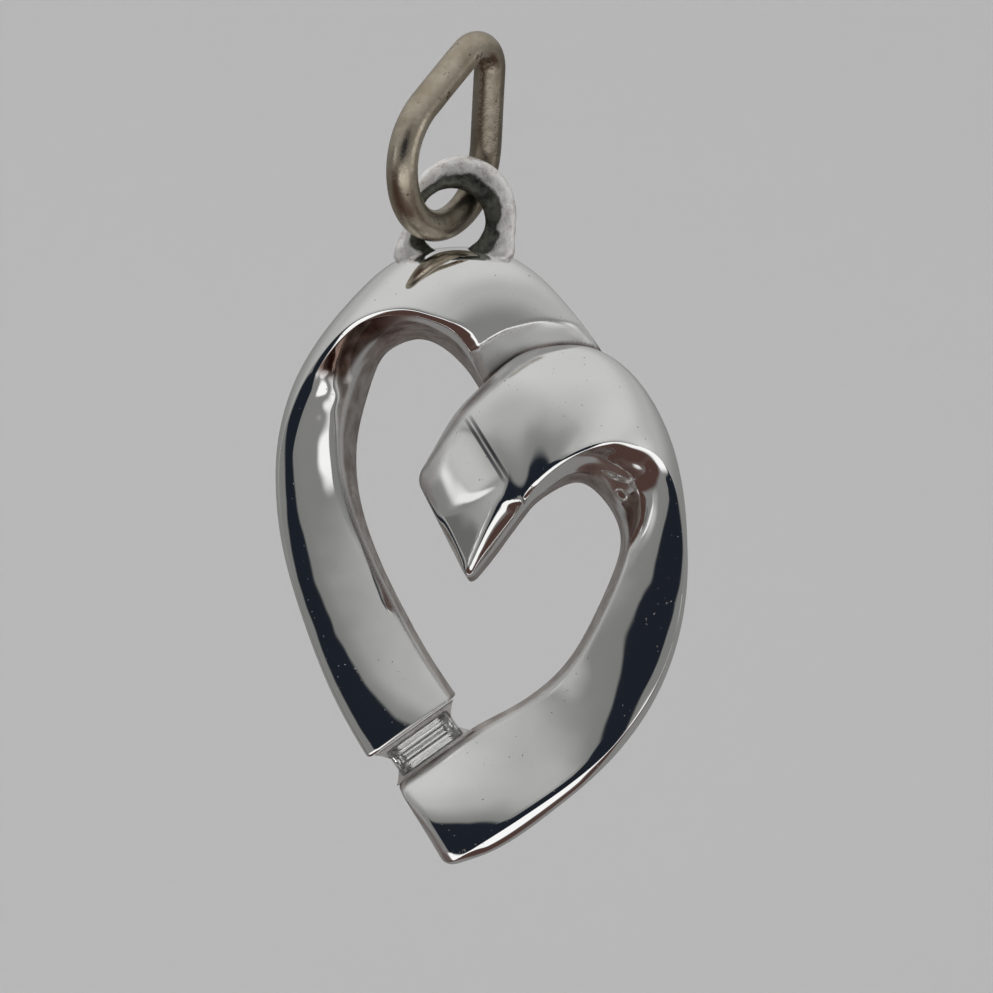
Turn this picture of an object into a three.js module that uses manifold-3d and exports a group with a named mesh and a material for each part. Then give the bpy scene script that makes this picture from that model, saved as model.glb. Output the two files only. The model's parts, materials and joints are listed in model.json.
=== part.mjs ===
// Open heart pendant: two polished ribbons that cross at the cleft, a baguette stone in a seat between
// their lower ends, a soldered hanging eye and a teardrop jump ring through it.
// Millimetres. X to the right, Z up, the front faces -Y. The origin is the chain's seat, inside the top of
// the ring.
import * as THREE from "three";
import { mergeVertices } from "three/addons/utils/BufferGeometryUtils.js";
import Module from "manifold-3d";

const wasm = await Module();
wasm.setup();

// Heart: overall width across the lobes, height from the left lobe's top to the tip, and greatest thickness
const HEART_WIDTH = 12.4;
const HEART_HEIGHT = 18.6;
const HEART_DEPTH = 3.2;

// Jump ring: a wire bent to a teardrop, which the eye rides on
const WIRE_DIAMETER = 0.95;
const RING_BOTTOM_RADIUS = 2.1;
const RING_TOP_RADIUS = 0.8;
const RING_ARC_SPACING = 2.7;
const RING_YAW = 55;
const RING_LEAN = 18;
const RING_TIP = 11;
const RING_EYE_ANGLE = -53;
const RING_SEAM_ANGLE = -10;
const RING_SEAM_GAP = 0.06;

// Hanging eye, soldered on the left lobe
const EYE_PLAY = 0.31;
const EYE_WALL = 0.73;
const EYE_DEPTH = 0.6;
const EYE_HOLE_OFFSET = [0.15, 0.15];
const EYE_BODY_OFFSET = [0.42, 0.45];
const EYE_FOOT_WIDTH = 3.85;
const EYE_FOOT_TUCK = 0.06;
const EYE_FOOT_DEPTH = 0.56;
const EYE_FOOT_REACH = 1.35;

// Heights are measured forwards from the heart's flat back, and the outline's points from a datum that lies
// below the wire in the eye
const EYE_HEIGHT = 0.85;
const DATUM_DROP = 0.1;
const SOLDER_GAP = 0.05;

// Ribbon section
const BACK_BEVEL = 0.2;
const WALL_DRAFT = 0.14;
const DOME_ROUND = 0.09;
const FACE_ROUND = 0.3;
const EDGE_ROUND = 0.2;
const DOME_RISE = 0.6;
const DOME_REACH = 0.45;

// Flap: its face falls away from a fold line and turns up below the fold's end, from where a ridge runs to
// the flap's point
const FLAP_APEX = [1.83, -7.56];
const FLAP_HEIGHT = 2.83;
const FLAP_FOLD_ANGLE = 121.8;
const FLAP_FALL = 0.35;
const FLAP_BEND = 0.07;
const FLAP_LEAN = 0.235;
const FLAP_RISE = 0.35;
const FLAP_RISE_EASE = 0.04;
const FLAP_END = 5;
const FLAP_EASE_FROM = 3.6;
const FLAP_EASE = 0.5;
const RIDGE_TOP = [1.55, -8.43];
const RIDGE_HEIGHT = 2.95;
const RIDGE_ANGLE = 246.2;
const RIDGE_FALL = 0.2;
const RIDGE_LIFT = 2.5;
const ROLL_START = 0.75;
const ROLL_GROWTH = 0.2;
const ROLL_EASE = 0.02;
const FOLD_CREASE = 0.05;
const RIDGE_CREASE = 0.25;

// Groove in the left ribbon along the right one's outer edge, wide at the cleft and narrow at the outside
const SEAM_FROM = 2.4;
const SEAM_TO = 8;
const SEAM_WIDTH_AT_CLEFT = 1.1;
const SEAM_WIDTH_OUTSIDE = 0.45;
const SEAM_FALL = 0.68;
const SEAM_EASE = 0.1;

// Baguette stone and the seat that bridges the ribbons
const STONE_LENGTH = 2.1;
const STONE_WIDTH = 0.8;
const STONE_ANGLE = 35.5;
const STONE_CLEARANCE = 0.03;
const STONE_TABLE_HEIGHT = 1.0;
const STONE_GIRDLE_HEIGHT = 0.77;
const STONE_GIRDLE_THICKNESS = 0.06;
const STONE_KEEL_HEIGHT = 0.4;
const SEAT_WALL = 0.14;
const SEAT_END = 0.16;
const SEAT_HORN = 0.2;
const SEAT_TOP_HEIGHT = 0.72;
const SEAT_BED_HEIGHT = 0.34;

const SILVER = { color: 0xd9dad8, roughness: 0.08, metalness: 1 };
const CAST_SILVER = { color: 0xcfcac4, roughness: 0.3, metalness: 1 };
const NICKEL_SILVER = { color: 0x8c8470, roughness: 0.4, metalness: 1 };
const CLEAR_STONE = { color: 0xf2f6f4, roughness: 0.02, metalness: 0 };

// The stations are drawn for a heart 12.4 mm wide, 18.6 mm tall and 3.2 mm thick, and follow the sizes set
// above
const widthShare = HEART_WIDTH / 12.4;
const heightShare = HEART_HEIGHT / 18.6;
const depthShare = HEART_DEPTH / 3.2;

function at(x, z, height) {
  return [x * widthShare, z * heightShare, height * depthShare];
}

// The seat's channel: points along it and across it, measured from the stone's centre
const stoneCentre = at(-0.67, -15.54, 0);
const channelHalfWidth = STONE_WIDTH / 2 + STONE_CLEARANCE + SEAT_WALL + SOLDER_GAP;
const stoneTurn = THREE.MathUtils.degToRad(STONE_ANGLE);

function channelPoint(along, across) {
  const x = stoneCentre[0] + along * Math.cos(stoneTurn) - across * Math.sin(stoneTurn);
  const z = stoneCentre[1] + along * Math.sin(stoneTurn) + across * Math.cos(stoneTurn);
  return [x, z];
}

function upperBank(along, height) {
  return [...channelPoint(along * widthShare, channelHalfWidth), height * depthShare];
}

function lowerBank(along, height) {
  return [...channelPoint(along * widthShare, -channelHalfWidth), height * depthShare];
}

// Stations of the left ribbon, from its cut end by the stone, up the arm, over the lobe and under the right
// ribbon. Each gives a point on the outer edge, the front rim and the inner edge, the dome's slope at
// the rim in degrees, the fullness of the inner face and, where it is more than usual, the draft of the
// inner wall.
const LEFT_STATIONS = [
  [upperBank(-1.66, 0.35), upperBank(-1.54, 2), upperBank(1.46, 1.25), -25, 1],
  [at(-3.48, -14.01, 0.35), at(-3.36, -13.95, 2), at(-0.69, -12.9, 1.1), -25, 0.9],
  [at(-4.41, -11.61, 0.35), at(-4.29, -11.55, 2.05), at(-1.41, -11.61, 1), -25, 0.85, 0.16],
  [at(-4.98, -9.51, 0.35), at(-4.83, -9.45, 2.1), at(-2.19, -10.05, 1.05), -25, 0.85, 0.2],
  [at(-5.16, -7.65, 0.35), at(-5.01, -7.65, 2.2), at(-2.88, -8.25, 1.15), -25, 0.95, 0.3],
  [at(-5.04, -6.15, 0.35), at(-4.86, -6.33, 2.3), at(-3.12, -6.6, 1.35), -25, 0.97, 0.4],
  [at(-4.62, -4.74, 0.35), at(-4.38, -5.01, 2.4), at(-2.94, -5.31, 1.4), -25, 0.95, 0.46],
  [at(-3.9, -3.45, 0.35), at(-3.6, -3.81, 2.55), at(-2.58, -4.29, 1.1), -25, 0.5, 0.42],
  [at(-2.88, -2.19, 0.35), at(-2.55, -2.88, 2.7), at(-2.01, -3.6, 0.9), -24, 0.35, 0.28],
  [at(-1.53, -1.02, 0.35), at(-1.35, -2.64, 2.8), at(-1.23, -3.3, 0.85), -22, 0.3, 0.16],
  [at(-0.06, -0.63, 0.35), at(-0.57, -2.79, 2.78), at(-0.66, -3.27, 0.85), -22, 0.3],
  [at(1.35, -0.72, 0.35), at(0.06, -3.03, 2.65), at(-0.18, -3.45, 0.85), -22, 0.3],
  [at(2.67, -1.41, 0.35), at(0.57, -3.45, 2.35), at(0.27, -3.78, 0.85), -18, 0.3],
  [at(3.81, -2.61, 0.35), at(0.93, -4.14, 1.95), at(0.69, -4.23, 0.8), -12, 0.3],
  [at(4.59, -3.66, 0.35), at(1.2, -4.74, 1.6), at(1.02, -4.74, 0.75), -8, 0.3],
  [at(5.25, -4.8, 0.35), at(1.59, -5.4, 1.4), at(1.44, -5.4, 0.7), -5, 0.3],
];

// Stations of the right ribbon, from the pointed flap at the heart's middle, over the lobe, down the arm and
// along the stone to the cut end at the heart's tip
const RIGHT_STATIONS = [
  [at(-0.93, -7.59, 1.2), at(0.63, -10.66, 2.65), at(0.65, -10.69, 1.3), -8, 0.3],
  [at(-0.39, -6.69, 1.45), at(1.2, -9.96, 2.82), at(1.23, -9.99, 1.35), -6, 0.3],
  [at(0.27, -5.61, 1.65), at(1.74, -9.21, 2.92), at(1.78, -9.25, 1.45), -4, 0.3],
  [at(1.08, -4.77, 1.5), at(2.19, -8.55, 2.93), at(2.25, -8.62, 1.5), -4, 0.3],
  [at(2.04, -3.96, 1.25), at(2.52, -7.98, 2.95), at(2.63, -8.2, 1.45), -2, 0.3],
  [at(3.15, -3.6, 1), at(3, -7.47, 2.99), at(3.12, -7.86, 1.35), -3, 0.3],
  [at(4.35, -3.66, 0.85), at(3.6, -7.02, 3.08), at(3.63, -7.62, 1.2), -8, 0.3],
  [at(5.37, -4.26, 0.65), at(4.26, -6.69, 3.2), at(4.08, -7.59, 1.1), -20, 0.3],
  [at(6.12, -5.16, 0.5), at(4.95, -6.54, 3.2), at(4.5, -7.83, 1.1), -22, 0.35],
  [at(6.66, -6.24, 0.4), at(5.58, -6.66, 3.1), at(4.86, -8.22, 1.15), -25, 0.45],
  [at(6.99, -7.35, 0.35), at(6.15, -7.08, 3), at(5.13, -8.64, 1.3), -25, 0.6],
  [at(7.17, -8.55, 0.35), at(6.66, -7.86, 2.85), at(5.31, -9.15, 1.7), -25, 0.8],
  [at(7.23, -9.75, 0.35), at(7.02, -8.91, 2.7), at(5.31, -9.75, 2.15), -25, 0.95],
  [at(7.2, -10.95, 0.35), at(7.05, -10.5, 2.6), at(5.04, -10.65, 2.18), -25, 1],
  [at(6.9, -12.6, 0.35), at(6.72, -12.45, 2.5), at(4.35, -12.15, 2.08), -25, 1],
  [at(6.15, -14.4, 0.35), at(5.94, -14.22, 2.4), at(3.45, -13.47, 1.7), -25, 0.95],
  [at(4.89, -16.08, 0.35), at(4.64, -15.84, 2.3), at(2.19, -14.46, 1.15), -22, 0.55],
  [at(3.27, -17.49, 0.35), at(2.96, -17.17, 2.25), lowerBank(1.55, 0.95), -17, 0.25],
  [at(1.59, -18.66, 0.35), at(1.34, -18.25, 2.12), lowerBank(0.1, 1), -16, 0.7],
  [at(-0.03, -19.26, 0.35), at(-0.03, -19.11, 2), lowerBank(-1.42, 1.6), -25, 1],
];

const STEPS_PER_STATION = 6;
const DOME_STEPS = 16;
const FACE_STEPS = 6;
const ROUND_STEPS = 3;

// A natural cubic spline through equally spaced values, as a function of the station number
function splineThrough(values) {
  const last = values.length - 1;
  const bend = new Array(last + 1).fill(0);
  const pivot = new Array(last + 1).fill(0);
  for (let i = 1; i < last; i += 1) {
    const share = 0.5 * pivot[i - 1] + 2;
    pivot[i] = -0.5 / share;
    const rise = 3 * (values[i + 1] - 2 * values[i] + values[i - 1]);
    bend[i] = (rise - 0.5 * bend[i - 1]) / share;
  }
  for (let i = last - 1; i > 0; i -= 1) bend[i] += pivot[i] * bend[i + 1];
  return (t) => {
    const i = Math.min(Math.floor(t), last - 1);
    const b = t - i;
    const a = 1 - b;
    const curve = ((a ** 3 - a) * bend[i] + (b ** 3 - b) * bend[i + 1]) / 6;
    return a * values[i] + b * values[i + 1] + curve;
  };
}

function frontPoint([x, z, height]) {
  return new THREE.Vector3(x, EYE_HEIGHT - height, z - DATUM_DROP);
}

// Every rail and shape value of a ribbon as one spline each
function railsOf(stations) {
  const edge = (k) => [0, 1, 2].map((i) => splineThrough(stations.map((station) => station[k][i])));
  const [outer, rim, inner] = [0, 1, 2].map(edge);
  const [slope, crown] = [3, 4].map((k) => splineThrough(stations.map((station) => station[k])));
  const draft = splineThrough(stations.map((station) => station[5] ?? WALL_DRAFT));
  const place = (rail, t) => frontPoint(rail.map((value) => value(t)));
  return (t) => ({
    outer: place(outer, t),
    rim: place(rim, t),
    inner: place(inner, t),
    slope: THREE.MathUtils.degToRad(slope(t)),
    crown: crown(t),
    draft: draft(t),
  });
}

function level(point, y) {
  return new THREE.Vector3(point.x, y, point.z);
}

// A rounded corner between two curves: from near the first one's end to near the second one's start
function cornerPoints(before, after, roundBefore, roundAfter, steps) {
  const back = Math.min(0.45, roundBefore / before.getLength());
  const on = Math.min(0.45, roundAfter / after.getLength());
  const [start, end] = [before.getPointAt(1 - back), after.getPointAt(on)];
  const arc = new THREE.QuadraticBezierCurve3(start, before.getPoint(1), end);
  return { points: arc.getPoints(steps), back, on };
}

function stretch(curve, from, to, steps) {
  const points = [];
  for (let i = 1; i < steps; i += 1) points.push(curve.getPointAt(from + ((to - from) * i) / steps));
  return points;
}

// A station's own [x, z, height] of a point of the heart
function stationPoint({ x, y, z }) {
  return [x / widthShare, (z + DATUM_DROP) / heightShare, (EYE_HEIGHT - y) / depthShare];
}

// The lesser of two heights, with a soft crease where they meet
function softLeast(a, b, crease) {
  const near = Math.max(crease - Math.abs(a - b), 0) / crease;
  return Math.min(a, b) - (near ** 2 * crease) / 4;
}

// How far a point lies along a direction and to the right of it
function alongAndRight([x, z], [fromX, fromZ], angle) {
  const turn = THREE.MathUtils.degToRad(angle);
  const [dx, dz] = [x - fromX, z - fromZ];
  return [dx * Math.cos(turn) + dz * Math.sin(turn), dx * Math.sin(turn) - dz * Math.cos(turn)];
}

// Holds a point of the dome under the flap's face and under the roll off beside its ridge, both raised by
// some height
function planed(point, raised) {
  const [x, z, height] = stationPoint(point);
  const [upFold, beyondFold] = alongAndRight([x, z], FLAP_APEX, FLAP_FOLD_ANGLE);
  const away = -beyondFold;
  const bend = FLAP_BEND * Math.max(away, 0) ** 2;
  const rise = (FLAP_RISE * (Math.sqrt(upFold ** 2 + FLAP_RISE_EASE) - upFold)) / 2;
  const face = FLAP_HEIGHT + raised - FLAP_FALL * away - bend - FLAP_LEAN * upFold + rise;
  const [down, left] = alongAndRight([x, z], RIDGE_TOP, RIDGE_ANGLE);
  const growth = ROLL_START + ROLL_GROWTH * down;
  const steepness = (growth + Math.sqrt(growth ** 2 + ROLL_EASE)) / 2;
  const lift = RIDGE_LIFT * Math.max(-down, 0) ** 2;
  const roll = RIDGE_HEIGHT + raised - RIDGE_FALL * down + lift + steepness * left;
  return frontPoint(at(x, z, softLeast(softLeast(height, face, FOLD_CREASE), roll, RIDGE_CREASE)));
}

const SEAM_STEPS = 60;

// Draws a point of the left dome down into the groove along the right ribbon's outer edge
function seamedBy(rightRails) {
  const seam = [];
  for (let i = 0; i < SEAM_STEPS; i += 1) {
    const share = i / (SEAM_STEPS - 1);
    const [x, z] = stationPoint(rightRails(SEAM_FROM + (SEAM_TO - SEAM_FROM) * share).outer);
    seam.push({ x, z, width: THREE.MathUtils.lerp(SEAM_WIDTH_AT_CLEFT, SEAM_WIDTH_OUTSIDE, share) });
  }
  return (point) => {
    const [x, z, height] = stationPoint(point);
    let nearest = { apart: Infinity, width: 0 };
    for (const place of seam) {
      const apart = Math.hypot(x - place.x, z - place.z);
      if (apart < nearest.apart) nearest = { apart, width: place.width };
    }
    const inside = Math.max(nearest.width - nearest.apart, 0);
    const drop = (SEAM_FALL * inside ** 2) / (inside + SEAM_EASE);
    return frontPoint(at(x, z, Math.max(height - drop, 0.5 * height)));
  };
}

// A curve whose points are moved by a rule
class WorkedCurve extends THREE.Curve {
  constructor(base, rule) {
    super();
    this.base = base;
    this.rule = rule;
  }

  getPoint(t) {
    return this.rule(this.base.getPoint(t));
  }
}

// The closed section at one place along a ribbon: dome, rim, inner face, inner wall and flat back
function sectionAt({ outer, rim: drawnRim, inner, slope, crown, draft }, rule) {
  const across = level(outer, 0).sub(level(drawnRim, 0));
  const inward = level(inner, 0).sub(level(drawnRim, 0)).normalize();
  const foot = outer.clone();
  const wallTop = foot.clone();
  wallTop.y += DOME_RISE * (drawnRim.y - outer.y);
  const shoulder = drawnRim.clone().addScaledVector(across, DOME_REACH);
  shoulder.y -= Math.tan(slope) * across.length() * DOME_REACH;
  const dome = new WorkedCurve(new THREE.CubicBezierCurve3(foot, wallTop, shoulder, drawnRim), rule);
  const rim = rule(drawnRim);
  const bulge = rim.clone().lerp(inner, 0.5);
  bulge.y += (crown * (rim.y - inner.y)) / 2;
  const face = new THREE.QuadraticBezierCurve3(rim, bulge, inner);
  const hole = inner.clone().addScaledVector(inward, draft);
  hole.y = EYE_HEIGHT - BACK_BEVEL;
  const wall = new THREE.LineCurve3(inner, hole);
  const rimCorner = cornerPoints(dome, face, DOME_ROUND, FACE_ROUND, ROUND_STEPS);
  const edgeCorner = cornerPoints(face, wall, EDGE_ROUND, EDGE_ROUND, ROUND_STEPS);
  const outward = level(outer, 0).sub(level(inner, 0)).normalize();
  const backHole = level(hole, EYE_HEIGHT).addScaledVector(inward, -BACK_BEVEL);
  const backOuter = level(outer, EYE_HEIGHT).addScaledVector(outward, -BACK_BEVEL);
  return [
    rule(foot),
    ...stretch(dome, 0, 1 - rimCorner.back, DOME_STEPS),
    ...rimCorner.points,
    ...stretch(face, rimCorner.on, 1 - edgeCorner.back, FACE_STEPS),
    ...edgeCorner.points,
    hole,
    backHole,
    backOuter,
  ];
}

// A closed skin over a row of sections with equal point counts, capped at both ends
function loft(sections) {
  const count = sections[0].length;
  const positions = sections.flat().flatMap((p) => [p.x, p.y, p.z]);
  const triangles = [];
  for (let i = 0; i + 1 < sections.length; i += 1) {
    for (let j = 0; j < count; j += 1) {
      const k = (j + 1) % count;
      const [a, b, c, d] = [i * count + j, i * count + k, (i + 1) * count + k, (i + 1) * count + j];
      triangles.push(a, b, c, a, c, d);
    }
  }
  for (const [section, turn] of [[0, 1], [sections.length - 1, 0]]) {
    const middle = sections[section].reduce((sum, p) => sum.add(p), new THREE.Vector3()).divideScalar(count);
    const hub = positions.length / 3;
    positions.push(middle.x, middle.y, middle.z);
    for (let j = 0; j < count; j += 1) {
      const [a, b] = [section * count + j, section * count + ((j + 1) % count)];
      triangles.push(hub, ...(turn ? [b, a] : [a, b]));
    }
  }
  return facedOut(positions, triangles);
}

// A BufferGeometry whose faces point outwards
function facedOut(positions, triangles) {
  const at = (i) => new THREE.Vector3().fromArray(positions, 3 * i);
  let volume = 0;
  for (let i = 0; i < triangles.length; i += 3) {
    volume += at(triangles[i]).dot(at(triangles[i + 1]).cross(at(triangles[i + 2])));
  }
  const geometry = new THREE.BufferGeometry();
  geometry.setAttribute("position", new THREE.Float32BufferAttribute(positions, 3));
  geometry.setIndex(volume < 0 ? triangles.reverse() : triangles);
  return geometry;
}

// A ribbon through its stations, with the rule that works the dome at each place along it
function ribbonGeometry(rails, lastStation, ruleAt) {
  const sections = [];
  for (let i = 0; i <= lastStation * STEPS_PER_STATION; i += 1) {
    const t = i / STEPS_PER_STATION;
    sections.push(sectionAt(rails(t), ruleAt(t)));
  }
  return loft(sections);
}

function solidOf(geometry) {
  const bare = geometry.clone();
  bare.deleteAttribute("normal");
  bare.deleteAttribute("uv");
  const merged = mergeVertices(bare);
  const vertProperties = new Float32Array(merged.attributes.position.array);
  const triVerts = new Uint32Array(merged.index.array);
  return new wasm.Manifold(new wasm.Mesh({ numProp: 3, vertProperties, triVerts }));
}

function geometryOf(solid) {
  const mesh = solid.getMesh();
  const geometry = new THREE.BufferGeometry();
  geometry.setAttribute("position", new THREE.BufferAttribute(mesh.vertProperties, 3));
  geometry.setIndex(new THREE.BufferAttribute(mesh.triVerts, 1));
  return geometry;
}

// The same skin, moved out along its normals by a solder gap
function grown(geometry, gap) {
  const larger = mergeVertices(geometry.clone());
  larger.computeVertexNormals();
  const { position, normal } = larger.attributes;
  for (let i = 0; i < position.count; i += 1) {
    const moved = new THREE.Vector3().fromBufferAttribute(normal, i).multiplyScalar(gap);
    moved.add(new THREE.Vector3().fromBufferAttribute(position, i));
    position.setXYZ(i, moved.x, moved.y, moved.z);
  }
  return larger;
}

function part(name, geometry, finish) {
  geometry.computeVertexNormals();
  const mesh = new THREE.Mesh(geometry, new THREE.MeshStandardMaterial(finish));
  mesh.name = name;
  return mesh;
}

// The ring's centreline: two arcs joined by straight legs, open by a hair at the seam
class Teardrop extends THREE.Curve {
  constructor() {
    super();
    const lean = Math.asin((RING_BOTTOM_RADIUS - RING_TOP_RADIUS) / RING_ARC_SPACING);
    const leg = Math.sqrt(RING_ARC_SPACING ** 2 - (RING_BOTTOM_RADIUS - RING_TOP_RADIUS) ** 2);
    this.lean = lean;
    this.leg = leg;
    this.topArc = RING_TOP_RADIUS * (Math.PI - 2 * lean);
    this.bottomArc = RING_BOTTOM_RADIUS * (Math.PI + 2 * lean);
    this.around = this.topArc + this.bottomArc + 2 * leg;
    this.seam = RING_BOTTOM_RADIUS * (THREE.MathUtils.degToRad(RING_SEAM_ANGLE) - lean);
  }

  // Distance along the wire, from the right leg's lower end
  pointAtDistance(distance) {
    const d = ((distance % this.around) + this.around) % this.around;
    const right = new THREE.Vector3(Math.cos(this.lean), Math.sin(this.lean), 0);
    const up = new THREE.Vector3(-Math.sin(this.lean), Math.cos(this.lean), 0);
    if (d < this.leg) return right.multiplyScalar(RING_BOTTOM_RADIUS).addScaledVector(up, d);
    if (d < this.leg + this.topArc) {
      const a = this.lean + (d - this.leg) / RING_TOP_RADIUS;
      return new THREE.Vector3(Math.cos(a), Math.sin(a), 0).multiplyScalar(RING_TOP_RADIUS)
        .add(new THREE.Vector3(0, RING_ARC_SPACING, 0));
    }
    if (d < 2 * this.leg + this.topArc) {
      const down = 2 * this.leg + this.topArc - d;
      const point = right.multiplyScalar(RING_BOTTOM_RADIUS).addScaledVector(up, down);
      point.x = -point.x;
      return point;
    }
    const a = Math.PI - this.lean + (d - 2 * this.leg - this.topArc) / RING_BOTTOM_RADIUS;
    return new THREE.Vector3(Math.cos(a), Math.sin(a), 0).multiplyScalar(RING_BOTTOM_RADIUS);
  }

  getPoint(t) {
    const span = this.around - RING_SEAM_GAP;
    return this.pointAtDistance(this.seam + RING_SEAM_GAP / 2 + t * span);
  }
}

const RING_SIDES = 12;
const RING_STEPS = 64;

function ringGeometry() {
  const wire = new THREE.Shape().absarc(0, 0, WIRE_DIAMETER / 2, 0, 2 * Math.PI, false);
  return new THREE.ExtrudeGeometry(wire, {
    steps: RING_STEPS,
    curveSegments: RING_SIDES / 2,
    extrudePath: new Teardrop(),
  });
}

// The ring stands on its point in the eye, leans in its own plane, tips and turns about the vertical
function placedRing() {
  const ring = part("jump_ring", ringGeometry(), NICKEL_SILVER);
  const rest = THREE.MathUtils.degToRad(RING_EYE_ANGLE);
  ring.position.set(-RING_BOTTOM_RADIUS * Math.cos(rest), -RING_BOTTOM_RADIUS * Math.sin(rest), 0);
  const leaning = new THREE.Group().add(ring);
  leaning.rotation.z = -THREE.MathUtils.degToRad(RING_LEAN);
  const standing = new THREE.Group().add(leaning);
  standing.rotation.x = THREE.MathUtils.degToRad(90 + RING_TIP);
  const turned = new THREE.Group().add(standing);
  turned.rotation.z = THREE.MathUtils.degToRad(RING_YAW);
  return { turned, ring };
}

const { turned: turnedRing, ring } = placedRing();
turnedRing.updateMatrixWorld(true);

// How far the wire runs off the eye's axis where it passes through
function wireSlant() {
  const rest = THREE.MathUtils.degToRad(RING_EYE_ANGLE);
  const along = new THREE.Vector3(-Math.sin(rest), Math.cos(rest), 0).transformDirection(ring.matrixWorld);
  return Math.abs(along.y);
}

const eyeHoleRadius = WIRE_DIAMETER / 2 / wireSlant() + EYE_PLAY;
const EYE_SIDES = 40;
const EYE_LIP_STEPS = 12;

// A round body about the front-to-back axis, from points of [radius, depth]
function turnedBody(profile, [x, z]) {
  const geometry = new THREE.LatheGeometry(profile.map(([r, y]) => new THREE.Vector2(r, y)), EYE_SIDES);
  geometry.translate(x, 0, z);
  return facedOut([...geometry.attributes.position.array], [...geometry.index.array]);
}

function eyeGeometry(leftRibbon) {
  const half = EYE_DEPTH / 2;
  const round = half * 0.6;
  const outer = eyeHoleRadius + EYE_WALL;
  const body = turnedBody(
    [[0, -half], [outer - round, -half], [outer - round * 0.3, -half + round * 0.3], [outer, -half + round],
      [outer, half - round], [outer - round * 0.3, half - round * 0.3], [outer - round, half], [0, half]],
    EYE_BODY_OFFSET,
  );
  const reach = half + SOLDER_GAP;
  const lip = [];
  for (let i = 0; i <= EYE_LIP_STEPS; i += 1) {
    const turn = (i / EYE_LIP_STEPS - 0.5) * Math.PI;
    lip.push([eyeHoleRadius + half * (1 - Math.cos(turn)), half * Math.sin(turn)]);
  }
  const flare = eyeHoleRadius + half;
  const hole = turnedBody(
    [[0, -reach], [flare, -reach], ...lip, [flare, reach], [0, reach]],
    EYE_HOLE_OFFSET,
  );
  const [bodyX, z] = EYE_BODY_OFFSET;
  const right = bodyX + outer - EYE_FOOT_TUCK;
  const left = right - EYE_FOOT_WIDTH;
  const foot = new THREE.Shape();
  foot.moveTo(bodyX - outer, z);
  foot.quadraticCurveTo(bodyX - outer, z - EYE_FOOT_REACH * 0.8, left, z - EYE_FOOT_REACH);
  foot.lineTo(left + EYE_FOOT_WIDTH / 4, z - EYE_FOOT_REACH * 1.2);
  foot.lineTo(right - EYE_FOOT_WIDTH / 4, z - EYE_FOOT_REACH * 1.2);
  foot.lineTo(right, z - EYE_FOOT_REACH);
  foot.lineTo(bodyX + outer, z);
  foot.closePath();
  const slab = new THREE.ExtrudeGeometry(foot, {
    depth: EYE_FOOT_DEPTH,
    bevelEnabled: false,
    curveSegments: 6,
  });
  slab.rotateX(Math.PI / 2);
  slab.translate(0, EYE_FOOT_DEPTH / 2, 0);
  const joined = solidOf(body).add(solidOf(slab)).subtract(solidOf(hole));
  return geometryOf(joined.subtract(solidOf(grown(leftRibbon, SOLDER_GAP))));
}

// Moves a shape drawn along X, with its depth along Z, into the seat's channel
function intoChannel(geometry) {
  geometry.rotateX(Math.PI / 2);
  geometry.rotateY(-stoneTurn);
  geometry.translate(stoneCentre[0], EYE_HEIGHT, stoneCentre[1] - DATUM_DROP);
  return geometry;
}

// A frustum between two rectangles at two heights
function stepBlock(layers) {
  const positions = [];
  const triangles = [];
  for (const [halfLength, halfWidth, height] of layers) {
    for (const [sx, sy] of [[-1, -1], [1, -1], [1, 1], [-1, 1]]) {
      positions.push(sx * halfLength, sy * halfWidth, height);
    }
  }
  for (let i = 0; i + 1 < layers.length; i += 1) {
    for (let j = 0; j < 4; j += 1) {
      const [a, b] = [4 * i + j, 4 * i + ((j + 1) % 4)];
      triangles.push(a, b, b + 4, a, b + 4, a + 4);
    }
  }
  const top = 4 * (layers.length - 1);
  triangles.push(0, 2, 1, 0, 3, 2, top, top + 1, top + 2, top, top + 2, top + 3);
  return facedOut(positions, triangles);
}

// Step cut: a keel and two pavilion steps, a thin girdle, two crown steps and the table
function stoneGeometry() {
  const [l, w] = [STONE_LENGTH / 2, STONE_WIDTH / 2];
  const girdleTop = STONE_GIRDLE_HEIGHT + STONE_GIRDLE_THICKNESS / 2;
  const girdleFoot = STONE_GIRDLE_HEIGHT - STONE_GIRDLE_THICKNESS / 2;
  const crownMid = girdleTop + (STONE_TABLE_HEIGHT - girdleTop) * 0.6;
  const keelMid = girdleFoot + (STONE_KEEL_HEIGHT - girdleFoot) * 0.6;
  const inset = (share) => w * share;
  return intoChannel(stepBlock([
    [l - inset(0.85), w - inset(0.85), STONE_KEEL_HEIGHT],
    [l - inset(0.4), w - inset(0.4), keelMid],
    [l, w, girdleFoot],
    [l, w, girdleTop],
    [l - inset(0.25), w - inset(0.25), crownMid],
    [l - inset(0.5), w - inset(0.5), STONE_TABLE_HEIGHT],
  ]));
}

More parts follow.
